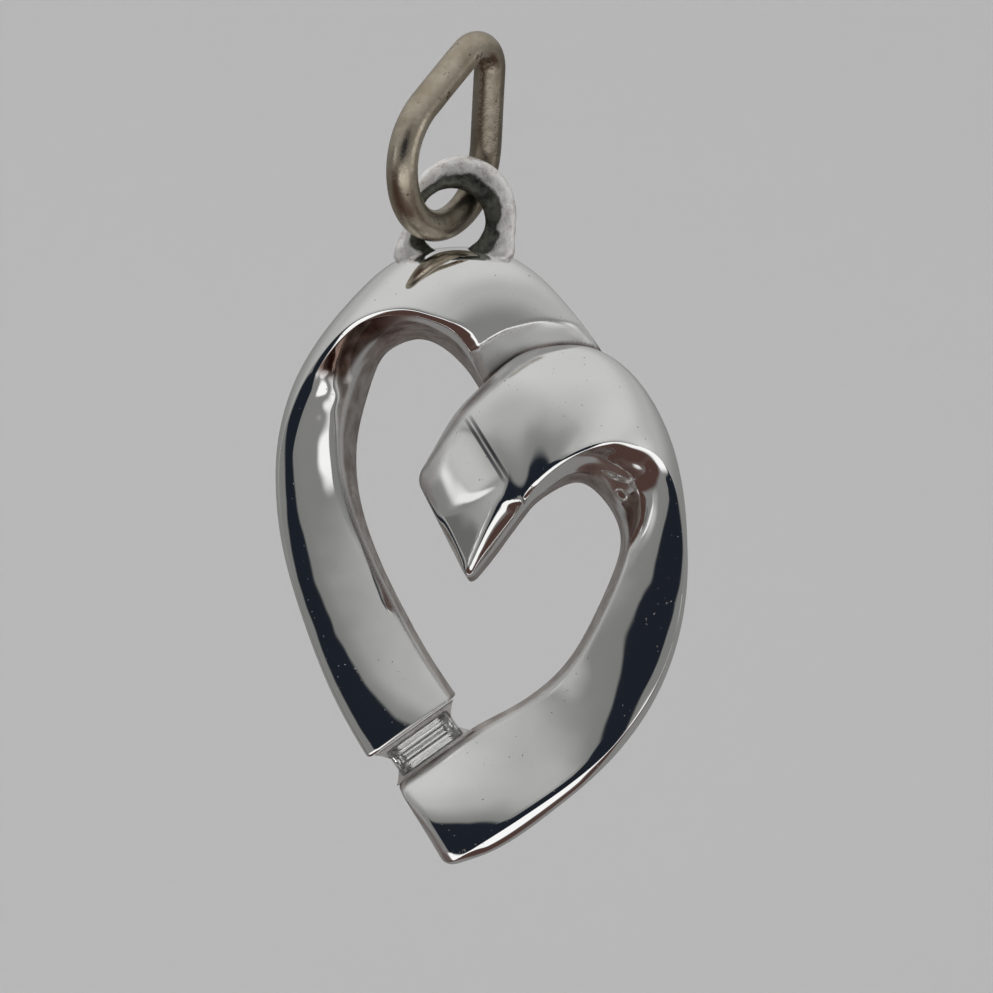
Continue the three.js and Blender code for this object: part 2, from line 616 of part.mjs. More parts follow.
// The seat: a bar fitted between the ribbons, with hollowed ends and a bed for the stone
function seatGeometry(ribbons) {
  const halfWidth = channelHalfWidth - SOLDER_GAP;
  const bedLength = STONE_LENGTH / 2 + STONE_CLEARANCE;
  const bedWidth = STONE_WIDTH / 2 + STONE_CLEARANCE;
  const middle = bedLength + SEAT_END;
  const horn = middle + SEAT_HORN;
  const plan = new THREE.Shape();
  plan.moveTo(-horn, -halfWidth);
  plan.lineTo(horn, -halfWidth);
  plan.quadraticCurveTo(middle - SEAT_HORN, 0, horn, halfWidth);
  plan.lineTo(-horn, halfWidth);
  plan.quadraticCurveTo(-middle + SEAT_HORN, 0, -horn, -halfWidth);
  const bar = new THREE.ExtrudeGeometry(plan, {
    depth: SEAT_TOP_HEIGHT - BACK_BEVEL,
    bevelEnabled: false,
    curveSegments: 10,
  });
  bar.translate(0, 0, BACK_BEVEL);
  const over = SEAT_TOP_HEIGHT + STONE_CLEARANCE;
  const bed = stepBlock([[bedLength, bedWidth, SEAT_BED_HEIGHT], [bedLength, bedWidth, over]]);
  let seat = solidOf(intoChannel(geometryOf(solidOf(bar).subtract(solidOf(bed)))));
  for (const ribbon of ribbons) seat = seat.subtract(solidOf(grown(ribbon, SOLDER_GAP)));
  return geometryOf(seat);
}

const rightRails = railsOf(RIGHT_STATIONS);
const seamed = seamedBy(rightRails);
const untouched = (point) => point.clone();

// The flap's planes ease off the dome towards the flap's end
function flapRule(t) {
  const raised = FLAP_EASE * Math.max(t - FLAP_EASE_FROM, 0) ** 2;
  return t < FLAP_END ? (point) => planed(point, raised) : untouched;
}

const rightRibbon = ribbonGeometry(rightRails, RIGHT_STATIONS.length - 1, flapRule);
const wholeLeft = ribbonGeometry(railsOf(LEFT_STATIONS), LEFT_STATIONS.length - 1, () => seamed);
const leftRibbon = geometryOf(solidOf(wholeLeft).subtract(solidOf(grown(rightRibbon, SOLDER_GAP))));

const heart = new THREE.Group();
heart.add(part("left_ribbon", leftRibbon, SILVER));
heart.add(part("right_ribbon", rightRibbon, SILVER));
heart.add(part("hanging_eye", eyeGeometry(wholeLeft), CAST_SILVER));
heart.add(part("stone_seat", seatGeometry([wholeLeft, rightRibbon]), CAST_SILVER));
heart.add(part("baguette_stone", stoneGeometry(), CLEAR_STONE));

// The chain's seat: the inside of the wire at the ring's top
const chainSeat = new THREE.Vector3(0, RING_ARC_SPACING + RING_TOP_RADIUS - WIRE_DIAMETER / 2, 0);
chainSeat.applyMatrix4(ring.matrixWorld);

const pendant = new THREE.Group();
pendant.position.copy(chainSeat).negate();
pendant.add(turnedRing, heart);
console.log("chain seat to the wire in the eye, mm:", chainSeat.toArray().map((v) => v.toFixed(4)).join(" "));

export default pendant;
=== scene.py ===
# %% [markdown]
# # A silver heart pendant
# The packed solids are loaded first as a fixed frame. Everything made below is in metres and in that frame, so a
# piece that stands for a solid goes exactly where the solid is.

# %% Load the frame
import json
import math

import bmesh
import bpy
import numpy as np
from mathutils import Matrix, Vector


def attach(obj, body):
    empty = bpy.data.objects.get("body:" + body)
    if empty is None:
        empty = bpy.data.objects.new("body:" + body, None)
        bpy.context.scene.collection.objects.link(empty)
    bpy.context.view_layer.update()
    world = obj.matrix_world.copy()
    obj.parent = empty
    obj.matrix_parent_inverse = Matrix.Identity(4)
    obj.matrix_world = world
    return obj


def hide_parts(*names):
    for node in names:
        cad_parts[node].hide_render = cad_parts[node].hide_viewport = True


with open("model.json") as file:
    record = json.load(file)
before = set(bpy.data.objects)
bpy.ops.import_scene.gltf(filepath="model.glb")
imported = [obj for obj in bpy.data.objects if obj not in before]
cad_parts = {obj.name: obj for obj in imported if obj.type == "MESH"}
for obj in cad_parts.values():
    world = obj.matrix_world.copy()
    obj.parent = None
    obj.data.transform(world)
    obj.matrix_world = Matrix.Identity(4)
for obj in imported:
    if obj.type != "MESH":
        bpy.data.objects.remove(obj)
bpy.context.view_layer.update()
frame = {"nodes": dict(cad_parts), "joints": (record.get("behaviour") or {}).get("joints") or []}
MM = 0.001
wire_in_eye = np.array(frame["joints"][0]["pos_m"]) / MM
print("nodes:", sorted(frame["nodes"]), "wire in the eye, mm:", wire_in_eye.round(4))

# %% [markdown]
# ## The camera
# The photograph looks straight at the front of the heart from a few hand widths away. A long lens at 250 mm gives the
# same flat perspective. The picture is 993 pixels wide and a pixel covers 0.03 mm at the pendant, which sets the lens.

# %% Place the camera
PIXEL = 0.03
PICTURE = 993
CAMERA_DISTANCE = 250.0
picture_middle = np.array([0.58, 0.0, -13.0])


def link(name, data):
    thing = bpy.data.objects.new(name, data)
    bpy.context.scene.collection.objects.link(thing)
    return thing


camera_data = bpy.data.cameras.new("straight_on")
camera_data.sensor_width = 36.0
camera_data.lens = camera_data.sensor_width * CAMERA_DISTANCE / (PIXEL * PICTURE)
camera_data.clip_start = 0.01
camera_data.clip_end = 10.0
camera = link("straight_on", camera_data)
camera.location = Vector(picture_middle * MM) + Vector((0, -CAMERA_DISTANCE * MM, 0))
camera.rotation_euler = (math.pi / 2, 0, 0)
bpy.context.scene.camera = camera
print("lens:", round(camera_data.lens, 1), "mm")

# %% [markdown]
# ## Joining nodes
# Every finish below is a few textures joined to one shader. Adding each node and link by hand would hide what they are
# for, so two small classes do the joining. Textures follow the object's own coordinates, so that a finish stays on its
# piece when the heart swings.

# %% Short ways to join nodes
class Wiring:
    """A node tree with short ways to add nodes and to join them."""

    def __init__(self, net):
        self.net = net

    def put(self, target, value):
        """Links a socket to the target, or sets a plain value on it."""
        if isinstance(value, bpy.types.NodeSocket):
            self.net.links.new(value, target)
        else:
            target.default_value = value

    def node(self, kind, values=None, **settings):
        made = self.net.nodes.new(kind)
        for key, value in settings.items():
            setattr(made, key, value)
        for key, value in (values or {}).items():
            self.put(made.inputs[key], value)
        return made

    def out(self, kind, values=None, output=0, **settings):
        """One output of a new node."""
        return self.node(kind, values, **settings).outputs[output]

    def sum_of(self, operation, *values):
        return self.out("ShaderNodeMath", dict(enumerate(values)), operation=operation)

    def spread(self, source, low, high, from_low=0.0, from_high=1.0, **settings):
        """A value moved from one range to another."""
        values = {"Value": source, "From Min": from_low, "From Max": from_high, "To Min": low, "To Max": high}
        return self.out("ShaderNodeMapRange", values, "Result", **settings)

    def ramp(self, source, *steps):
        """Colours at given values of a texture."""
        made = self.node("ShaderNodeValToRGB", {"Fac": source})
        elements = made.color_ramp.elements
        while len(elements) < len(steps):
            elements.new(0.5)
        for element, (position, colour) in zip(elements, steps):
            element.position = position
            element.color = (*colour, 1)
        return made.outputs["Color"]


print("for any tree:", [way for way in vars(Wiring) if way[0] != "_"])


# %% Short ways to make a material
class Paint(Wiring):
    """A material whose textures follow the object's own coordinates."""

    def __init__(self, name):
        self.material = bpy.data.materials.new(name)
        self.material.use_nodes = True
        super().__init__(self.material.node_tree)
        self.place = self.out("ShaderNodeTexCoord", output="Object")

    def noise(self, scale, detail, rough=0.5):
        values = {"Vector": self.place, "Scale": scale, "Detail": detail, "Roughness": rough}
        return self.out("ShaderNodeTexNoise", values, "Fac")

    def share_of(self, attribute):
        return self.out("ShaderNodeAttribute", output="Fac", attribute_name=attribute)

    def mix(self, share, first, second):
        return self.out("ShaderNodeMix", {0: share, 6: first, 7: second}, 2, data_type="RGBA")

    def bump(self, height, distance, strength, below=None):
        values = {"Height": height, "Distance": distance, "Strength": strength}
        if below is not None:
            values["Normal"] = below
        return self.out("ShaderNodeBump", values, "Normal")

    def coat(self, values):
        """Joins what was made to the shader, and returns the material."""
        for key, value in values.items():
            self.put(self.net.nodes["Principled BSDF"].inputs[key], value)
        return self.material


print("for a material:", [way for way in vars(Paint) if way[0] != "_"])

# %% [markdown]
# ## The floor
# The photograph's cloth is left out. A plain pale sheet lies under the pendant and curves up into a wall, as
# photographers' paper does, so that no horizon shows. Reflections don't see it, because its even grey would wash out
# the bands that run down the ribbons.

# %% Floor and wall
FLOOR_FRONT, FLOOR_LEVEL, BEND_START, BEND_RADIUS, WALL_TOP, HALF_WIDTH = -0.9, -0.07, 0.25, 0.2, 1.2, 1.5
BEND_STEPS = 12


def smooth(mesh, crease=None):
    """Smooth shading, with edges sharper than the crease angle kept sharp."""
    mesh.polygons.foreach_set("use_smooth", [True] * len(mesh.polygons))
    if crease:
        mesh.set_sharp_from_angle(angle=math.radians(crease))


def studio_sweep():
    profile = [(FLOOR_FRONT, FLOOR_LEVEL), (BEND_START, FLOOR_LEVEL)]
    for step in range(1, BEND_STEPS + 1):
        a = step / BEND_STEPS * math.pi / 2
        up = FLOOR_LEVEL + BEND_RADIUS - BEND_RADIUS * math.cos(a)
        profile.append((BEND_START + BEND_RADIUS * math.sin(a), up))
    profile.append((BEND_START + BEND_RADIUS, WALL_TOP))
    mesh = bpy.data.meshes.new("studio_sweep")
    points = [(x, y, z) for y, z in profile for x in (-HALF_WIDTH, HALF_WIDTH)]
    faces = [(2 * i, 2 * i + 1, 2 * i + 3, 2 * i + 2) for i in range(len(profile) - 1)]
    mesh.from_pydata(points, [], faces)
    smooth(mesh)
    return mesh


sweep = link("studio_sweep", studio_sweep())
pale_floor = Paint("pale_floor").coat({"Base Color": (0.56, 0.556, 0.562, 1), "Roughness": 0.9})
sweep.data.materials.append(pale_floor)
sweep.visible_glossy = False
bpy.context.scene.view_settings.view_transform = "Standard"
print("sweep faces:", len(sweep.data.polygons))

# %% [markdown]
# ## The sky
# Polished metal has almost no colour of its own: it shows the room. The room is a sky that is brown below, where the
# table would be, grey at eye level and paler overhead. A picture of a room would do, but a short ramp of colours is
# plain and can be matched.

# %% Sky
# share of the way from straight down to straight up, and the colour there
SKY = (
    (0.0, (0.06, 0.036, 0.032)),
    (0.12, (0.1, 0.068, 0.06)),
    (0.22, (0.22, 0.216, 0.212)),
    (0.5, (0.215, 0.217, 0.212)),
    (0.75, (0.43, 0.433, 0.426)),
    (0.95, (0.6, 0.603, 0.595)),
)


def sky():
    world = bpy.data.worlds.new("studio_sky")
    world.use_nodes = True
    wiring = Wiring(world.node_tree)
    towards = wiring.out("ShaderNodeTexCoord", output="Generated")
    up = wiring.out("ShaderNodeSeparateXYZ", {"Vector": towards}, "Z")
    shade = wiring.ramp(wiring.spread(up, 0, 1, -1, 1), *SKY)
    shade.node.color_ramp.interpolation = "EASE"
    wiring.put(world.node_tree.nodes["Background"].inputs["Color"], shade)
    return world


bpy.context.scene.world = sky()
print("sky:", bpy.context.scene.world.name)

# %% [markdown]
# ## Lamps and cards
# Two soft lamps light the floor and the duller metal. The polish shows oval cards that only reflections see: a dark
# one round the camera gives the dark bands that run down the ribbons, brown ones below give the brown of the inner
# faces, and white ones give the light lines on the rims. Their edges are soft and ragged, as a room's are.

# %% Lamps
PENDANT = Vector((0.0, 0.0, -0.013))


def aimed(name, data, place, axis):
    """A thing whose axis points from its place to the pendant."""
    made = link(name, data)
    made.location = place
    made.rotation_euler = (PENDANT - Vector(place)).to_track_quat(axis, "Y").to_euler()
    return made


def soft_lamp(name, place, size, power):
    data = bpy.data.lights.new(name, "AREA")
    data.shape = "DISK"
    data.size = size
    data.energy = power
    lamp = aimed(name, data, place, "-Z")
    lamp.visible_glossy = False
    return lamp


key_lamp = soft_lamp("key_lamp", (-0.25, -0.2, 0.45), 0.35, 2.4)
fill_lamp = soft_lamp("fill_lamp", (0.45, -0.25, 0.1), 0.35, 1.0)
print("lamps:", key_lamp.name, fill_lamp.name)

# %% Cards
CARD_SIDES = 64
EDGE_WAVES = 1.6
WHITE, BROWN = (1.0, 1.0, 1.0), (0.075, 0.042, 0.036)
# name, place, half width, half height, colour, softness and raggedness of the edge
CARDS = [
    ("camera_card", (0.0, -0.4, -0.013), 0.18, 0.18, (0.012, 0.015, 0.022), 0.12, 0.1),
    ("halo_card", (0.0, -0.42, 0.0), 0.36, 0.36, (0.2, 0.204, 0.195), 0.55, 0.2),
    ("warm_card", (0.05, -0.05, -0.42), 0.34, 0.2, BROWN, 0.35, 0.15),
    ("light_arc", (0.08, -0.31, -0.26), 0.34, 0.13, WHITE, 0.3, 0.0),
    ("brown_card", (0.4, 0.05, -0.33), 0.27, 0.2, BROWN, 0.3, 0.1),
    ("umber_card", (-0.31, -0.12, -0.26), 0.24, 0.21, BROWN, 0.25, 0.1),
    ("spark_card", (0.355, -0.196, -0.194), 0.12, 0.045, WHITE, 0.4, 0.1),
    ("pale_card", (-0.4376, -0.2156, 0.005), 0.045, 0.13, (0.85, 0.85, 0.84), 0.5, 0.0),
    ("glow_card", (-0.43, -0.3, -0.035), 0.17, 0.13, (0.52, 0.52, 0.51), 0.9, 0.0),
    ("grey_card", (-0.49, -0.06, 0.03), 0.085, 0.085, (0.14, 0.14, 0.135), 0.4, 0.0),
    ("side_card", (0.47, -0.1, -0.07), 0.2, 0.11, (0.95, 0.95, 0.94), 0.4, 0.1),
    ("stone_card", (0.0, -0.45, 0.05), 0.45, 0.45, (0.9, 0.9, 0.88), 0.5, 0.0),
]


def card_material(name, colour, softness, ragged):
    paint = Paint(name)
    nodes = paint.net.nodes
    nodes.remove(nodes["Principled BSDF"])
    glow = paint.out("ShaderNodeEmission", {"Color": (*colour, 1)})
    clear = paint.out("ShaderNodeBsdfTransparent")
    reach = paint.out("ShaderNodeVectorMath", {0: paint.place}, "Value", operation="LENGTH")
    edge = paint.sum_of("MULTIPLY_ADD", paint.noise(EDGE_WAVES, 2), ragged, reach)
    beyond = paint.spread(edge, 0, 1, 1 - softness, interpolation_type="SMOOTHSTEP")
    mixed = paint.out("ShaderNodeMixShader", {0: beyond, 1: glow, 2: clear})
    paint.put(nodes["Material Output"].inputs["Surface"], mixed)
    return paint.material


def card(name, place, width, height, colour, softness, ragged):
    """An oval card, one unit in radius before it is scaled, that only reflections see."""
    mesh = bpy.data.meshes.new(name)
    turn = [2 * math.pi * i / CARD_SIDES for i in range(CARD_SIDES)]
    mesh.from_pydata([(math.cos(a), math.sin(a), 0) for a in turn], [], [tuple(range(CARD_SIDES))])
    mesh.materials.append(card_material(name, colour, softness, ragged))
    made = aimed(name, mesh, place, "Z")
    made.scale = (width, height, 1)
    made.visible_camera = made.visible_diffuse = made.visible_shadow = False
    return made


cards = {row[0]: card(*row) for row in CARDS}
cards["stone_card"].visible_glossy = False  # only light that goes through the stone sees this one
for dark_card in ("camera_card", "halo_card"):
    cards[dark_card].visible_transmission = False
print("cards:", *cards)

# %% [markdown]
# ## The ribbons' stations
# Each ribbon is a rounded bar whose section changes all the way along it. A few stations are enough: at each one the
# outer edge, the front rim and the inner edge are given as a point across the heart and a height above its flat back.
# A natural cubic spline joins them, which keeps the reflections smooth where a polyline would break them.

# %% Stations of the left ribbon
BACK_TO_EYE = 0.85
DATUM_DROP = 0.1
CHANNEL_HALF_WIDTH = 0.62
STONE_CENTRE = np.array([-0.67, -15.54])
STONE_TURN = math.radians(35.5)
along_stone = np.array([math.cos(STONE_TURN), math.sin(STONE_TURN)])
across_stone = np.array([-math.sin(STONE_TURN), math.cos(STONE_TURN)])


def in_channel(along, across, height):
    """A point measured from the stone's middle, along it and across it."""
    x, z = STONE_CENTRE + along * along_stone + across * across_stone
    return (x, z, height)


def upper(along, height):
    return in_channel(along, CHANNEL_HALF_WIDTH, height)


def lower(along, height):
    return in_channel(along, -CHANNEL_HALF_WIDTH, height)


# outer edge, front rim, inner edge, slope of the dome at the rim in degrees, fullness of the inner face and how far
# the inner wall leans into the opening
LEFT_STATIONS = [
    (upper(-1.66, 0.35), upper(-1.54, 2.0), upper(1.46, 1.4), -25, 1.0, 0.14),
    ((-3.48, -14.01, 0.35), (-3.36, -13.95, 2.0), (-0.69, -12.9, 1.1), -25, 0.9, 0.14),
    ((-4.41, -11.61, 0.35), (-4.29, -11.55, 2.05), (-1.41, -11.61, 1.0), -25, 0.85, 0.16),
    ((-4.98, -9.51, 0.35), (-4.83, -9.45, 2.1), (-2.19, -10.05, 1.05), -25, 0.85, 0.2),
    ((-5.16, -7.65, 0.35), (-5.01, -7.65, 2.2), (-2.88, -8.25, 1.15), -25, 0.95, 0.3),
    ((-5.04, -6.15, 0.35), (-4.86, -6.33, 2.3), (-3.12, -6.6, 1.35), -25, 0.97, 0.4),
    ((-4.62, -4.74, 0.35), (-4.38, -5.01, 2.4), (-2.94, -5.31, 1.4), -25, 0.95, 0.46),
    ((-3.9, -3.45, 0.35), (-3.6, -3.81, 2.55), (-2.58, -4.29, 1.1), -25, 0.5, 0.42),
    ((-2.88, -2.19, 0.35), (-2.55, -2.88, 2.7), (-2.01, -3.6, 0.9), -24, 0.35, 0.28),
    ((-1.53, -1.02, 0.35), (-1.35, -2.64, 2.8), (-1.23, -3.3, 0.85), -22, 0.3, 0.16),
    ((-0.06, -0.63, 0.35), (-0.57, -2.79, 2.78), (-0.66, -3.27, 0.85), -22, 0.3, 0.14),
    ((1.35, -0.72, 0.35), (0.06, -3.03, 2.65), (-0.18, -3.45, 0.85), -22, 0.3, 0.14),
    ((2.67, -1.41, 0.35), (0.57, -3.45, 2.35), (0.27, -3.78, 0.85), -18, 0.3, 0.14),
    ((3.81, -2.61, 0.35), (0.93, -4.14, 1.95), (0.69, -4.23, 0.8), -12, 0.3, 0.14),
    ((4.59, -3.66, 0.35), (1.2, -4.74, 1.6), (1.02, -4.74, 0.75), -8, 0.3, 0.14),
    ((5.25, -4.8, 0.35), (1.59, -5.4, 1.4), (1.44, -5.4, 0.7), -5, 0.3, 0.14),
]
print("left stations:", len(LEFT_STATIONS))

# %% Stations of the right ribbon
RIGHT_STATIONS = [
    ((-0.93, -7.59, 1.2), (0.63, -10.66, 2.65), (0.65, -10.69, 1.3), -8, 0.3, 0.14),
    ((-0.39, -6.69, 1.45), (1.2, -9.96, 2.82), (1.23, -9.99, 1.35), -6, 0.3, 0.14),
    ((0.27, -5.61, 1.65), (1.74, -9.21, 2.92), (1.78, -9.25, 1.45), -4, 0.3, 0.14),
    ((1.08, -4.77, 1.5), (2.19, -8.55, 2.93), (2.25, -8.62, 1.5), -4, 0.3, 0.14),
    ((2.04, -3.96, 1.25), (2.52, -7.98, 2.95), (2.63, -8.2, 1.45), -2, 0.3, 0.14),
    ((3.15, -3.6, 1.0), (3.0, -7.47, 2.99), (3.12, -7.86, 1.35), -3, 0.3, 0.14),
    ((4.35, -3.66, 0.85), (3.6, -7.02, 3.08), (3.63, -7.62, 1.2), -8, 0.3, 0.14),
    ((5.37, -4.26, 0.65), (4.26, -6.69, 3.2), (4.08, -7.59, 1.1), -20, 0.3, 0.14),
    ((6.12, -5.16, 0.5), (4.95, -6.54, 3.2), (4.5, -7.83, 1.1), -22, 0.35, 0.14),
    ((6.66, -6.24, 0.4), (5.58, -6.62, 3.1), (4.86, -8.22, 1.15), -25, 0.45, 0.14),
    ((6.99, -7.35, 0.35), (6.28, -6.94, 3.0), (5.13, -8.64, 1.3), -25, 0.45, 0.14),
    ((7.17, -8.55, 0.35), (6.79, -7.82, 2.85), (5.31, -9.15, 1.7), -25, 0.8, 0.14),
    ((7.23, -9.75, 0.35), (7.02, -8.91, 2.7), (5.31, -9.75, 2.15), -25, 0.95, 0.14),
    ((7.2, -10.95, 0.35), (7.05, -10.5, 2.6), (5.04, -10.65, 2.18), -25, 1.0, 0.14),
    ((6.9, -12.6, 0.35), (6.72, -12.45, 2.5), (4.35, -12.15, 2.08), -25, 1.0, 0.14),
    ((6.15, -14.4, 0.35), (5.94, -14.22, 2.4), (3.45, -13.47, 1.7), -25, 0.95, 0.14),
    ((4.89, -16.08, 0.35), (4.64, -15.84, 2.3), (2.19, -14.46, 1.15), -22, 0.55, 0.14),
    ((3.27, -17.49, 0.35), (2.96, -17.17, 2.25), lower(1.55, 0.95), -17, 0.25, 0.14),
    ((1.59, -18.66, 0.35), (1.34, -18.25, 2.12), lower(0.1, 1.0), -16, 0.7, 0.14),
    ((-0.03, -19.26, 0.35), (-0.03, -19.11, 2.0), lower(-1.42, 1.6), -25, 1.0, 0.14),
]
print("right stations:", len(RIGHT_STATIONS))


# %% Join the stations
def natural_spline(stations):
    values = np.array([np.concatenate([np.ravel(s[:3]), s[3:]]) for s in stations], float)
    count = len(values)
    system = np.eye(count)
    pull = np.zeros_like(values)
    for i in range(1, count - 1):
        system[i, i - 1 : i + 2] = (0.5, 2.0, 0.5)
        pull[i] = 3 * (values[i + 1] - 2 * values[i] + values[i - 1])
    bend = np.linalg.solve(system, pull)

    def value(t):
        i = int(min(max(math.floor(t), 0), count - 2))
        b = t - i
        a = 1 - b
        return a * values[i] + b * values[i + 1] + ((a**3 - a) * bend[i] + (b**3 - b) * bend[i + 1]) / 6

    return value


left_course, right_course = natural_spline(LEFT_STATIONS), natural_spline(RIGHT_STATIONS)
print("rims halfway:", left_course(7.5)[3:6].round(2), right_course(9.5)[3:6].round(2))

# %% [markdown]
# ## The section of a ribbon
# A section is drawn as a cross-cut of the cast bar: a dome from the outer edge up to the front rim, a full inner face
# from the rim down to the inner edge, a steep inner wall and a flat back. The corners are small Bezier arcs, because
# polishing takes every sharp edge off silver, and those soft edges are what catch the light lines along the rims. Each
# part has a fixed count of points, so that one section can be joined to the next.

# %% Curves for a section
DOME_COUNT, ARC_COUNT, FACE_COUNT, WALL_COUNT, CORNER_COUNT, BACK_COUNT = 30, 7, 30, 6, 4, 10
OUTSIDE = slice(0, 37)  # the dome and the rim
FACE, EDGE, WALL, BACK = slice(37, 67), slice(67, 74), slice(74, 80), slice(80, 98)
INSIDE = slice(37, 74)  # the face and its edge
FRONT = slice(0, 74)  # all that a buff can reach
DENSE = 96
MOST_CUT = 0.45


def even_points(curve, start_cut, end_cut, count):
    """Points at even distances on a dense curve, with a length cut off each end."""
    steps = np.linalg.norm(np.diff(curve, axis=0), axis=1)
    length = np.concatenate([[0], np.cumsum(steps)])
    most = MOST_CUT * length[-1]
    wanted = np.linspace(min(start_cut, most), length[-1] - min(end_cut, most), count)
    return np.stack([np.interp(wanted, length, curve[:, k]) for k in range(3)], 1)


def bezier(points, count):
    t = np.linspace(0, 1, count)[:, None]
    if len(points) == 3:
        a, b, c = points
        return (1 - t) ** 2 * a + 2 * t * (1 - t) * b + t**2 * c
    a, b, c, d = points
    return (1 - t) ** 3 * a + 3 * t * (1 - t) ** 2 * b + 3 * t**2 * (1 - t) * c + t**3 * d


def corner(start, middle, end, count):
    """The points inside a rounded corner, without its two ends."""
    return bezier((start, middle, end), count + 2)[1:-1]


def level(point, height):
    return np.array([point[0], point[1], height])


print("points in a section:", BACK.stop)

# %% [markdown]
# ## The flap
# The right ribbon ends in a pointed flap in the heart's middle. It was filed flat across a fold, and its point rolls
# off beside a ridge. Filing only takes metal away, so both are made the same way: heights of the dome are held under
# a falling face, with a soft crease where the two meet.

# %% File the flap
FLAP_APEX, FLAP_HEIGHT = np.array([1.83, -7.56]), 2.83
FLAP_AWAY, FLAP_ALONG = np.array([-0.849, -0.527]), np.array([-0.527, 0.849])
FLAP_FALL, FLAP_BEND, FLAP_LEAN, FLAP_RISE, FLAP_SOFTNESS = 0.35, 0.07, 0.235, 0.35, 0.04
RIDGE_TOP, RIDGE_HEIGHT = np.array([1.55, -8.43]), 2.95
RIDGE_ALONG, RIDGE_OUT = np.array([-0.403, -0.915]), np.array([0.915, -0.403])
RIDGE_FALL, RIDGE_LIFT, ROLL_START, ROLL_GROWTH, ROLL_SOFTNESS = 0.2, 2.5, 0.75, 0.2, 0.02
FOLD_CREASE, RIDGE_CREASE = 0.05, 0.25


def soft_least(a, b, blend):
    near = np.maximum(blend - np.abs(a - b), 0) / blend
    return np.minimum(a, b) - near**2 * blend / 4


def planed(points, clear):
    """Heights held under the flap's face and the roll off beside its ridge, which lift clear at the flap's end."""
    from_apex, from_ridge = points[..., :2] - FLAP_APEX, points[..., :2] - RIDGE_TOP
    away, along = from_apex @ FLAP_AWAY, from_apex @ FLAP_ALONG
    rise = FLAP_RISE * (np.sqrt(along**2 + FLAP_SOFTNESS) - along) / 2
    face = FLAP_HEIGHT + clear - FLAP_FALL * away - FLAP_BEND * np.maximum(away, 0) ** 2 - FLAP_LEAN * along + rise
    down, out = from_ridge @ RIDGE_ALONG, from_ridge @ RIDGE_OUT
    steepness = ROLL_START + ROLL_GROWTH * down
    steepness = (steepness + np.sqrt(steepness**2 + ROLL_SOFTNESS)) / 2
    roll = RIDGE_HEIGHT + clear - RIDGE_FALL * down + RIDGE_LIFT * np.maximum(-down, 0) ** 2 - steepness * out
    kept = points.copy()
    kept[..., 2] = soft_least(soft_least(points[..., 2], face, FOLD_CREASE), roll, RIDGE_CREASE)
    return kept


print("height left at the fold's end:", planed(level(FLAP_APEX, FLAP_HEIGHT), 0.0)[2].round(2), "mm")

# %% [markdown]
# ## The crossing
# The left ribbon runs under the right one at the cleft and was soldered there, which leaves a groove along the upper
# ribbon's outer edge. The groove follows that edge, so it is found from the right ribbon's stations.

# %% Draw down the groove
SEAM_FROM, SEAM_TO, SEAM_STEPS = 2.4, 8.0, 60
SEAM_WIDTH, SEAM_FALL, SEAM_ROUND, SEAM_LEAST = (1.1, 0.45), 0.68, 0.1, 0.5
seam_steps = np.linspace(SEAM_FROM, SEAM_TO, SEAM_STEPS)
seam_line = np.array([right_course(t)[:2] for t in seam_steps])
seam_width = np.interp(seam_steps, (SEAM_FROM, SEAM_TO), SEAM_WIDTH)


def to_seam(points):
    """How far points are from the seam, and how wide the groove is there."""
    apart = np.linalg.norm(points[..., None, :2] - seam_line, axis=-1)
    return apart.min(-1), seam_width[apart.argmin(-1)]


def seamed(points):
    """Heights drawn down into the groove that runs along the outer edge of the upper ribbon."""
    apart, width = to_seam(points)
    inside = np.maximum(width - apart, 0)
    kept = points.copy()
    kept[..., 2] -= SEAM_FALL * inside**2 / (inside + SEAM_ROUND)
    kept[..., 2] = np.maximum(kept[..., 2], SEAM_LEAST * points[..., 2])
    return kept


print("the seam runs from", seam_line[0].round(2), "to", seam_line[-1].round(2))

# %% [markdown]
# ## Where the polishing reached
# A buffing wheel rounds the rims and brightens what it reaches. The inner walls keep the cast skin, the lobes' inner
# faces were filed by hand and are uneven, and edges that were only rubbed are satin. The darker cast colour, on the
# walls and on the faces past the buff, is partly the skin's own and partly painted shade and reflection bands. A thin
# brown line along the groove is painted shade. The brown crescent in the left lobe is a reflection in the photograph
# that the cards give too weakly, so the metal is tinted there as well: a painted reflection. Each point of a section
# carries its share of these finishes, and the silver reads them further on. A painted picture could hold them too, but
# shares on the points follow the shape.

# %% How far the polishing went
FINISHES = ("as_cast", "uneven", "solder", "satin")
AS_CAST, UNEVEN, SOLDER, SATIN = range(4)
# place along the ribbon, how rounded the rim is on its dome side and on its face side, how much of the face the buff
# reaches, past which the darker cast colour also paints shade and reflection bands, and how boxy the dome is
LEFT_WORK = [
    (0, 0.09, 0.3, 1, 0), (6.1, 0.09, 0.3, 1, 0), (6.5, 0.1, 0.14, 1, 0), (7, 0.1, 0.12, 1, 0),
    (8, 0.08, 0.12, 0.8, 0), (9, 0.12, 0.2, 0.2, 0), (10, 0.12, 0.2, 0.25, 0),
    (11, 0.15, 0.25, 0.4, 0), (12, 0.3, 0.3, 0.4, 0), (15, 0.12, 0.3, 0.5, 0),
]
RIGHT_WORK = [
    (0, 0.09, 0.2, 1, 0), (2.5, 0.09, 0.2, 1, 0), (3.5, 0.2, 0.2, 1, 0), (4.5, 0.14, 0.06, 1, 0),
    (6, 0.12, 0.05, 0.7, 0), (7, 0.11, 0.06, 0.7, 0), (8, 0.06, 0.1, 0.7, 0), (9, 0.05, 0.14, 0.85, 0),
    (10, 0.04, 0.2, 1, 0), (12, 0.08, 0.25, 1, 0), (15.5, 0.09, 0.3, 1, 0), (16.5, 0.06, 0.1, 1, 1),
    (18.2, 0.06, 0.1, 1, 1), (19, 0.09, 0.3, 1, 0),
]


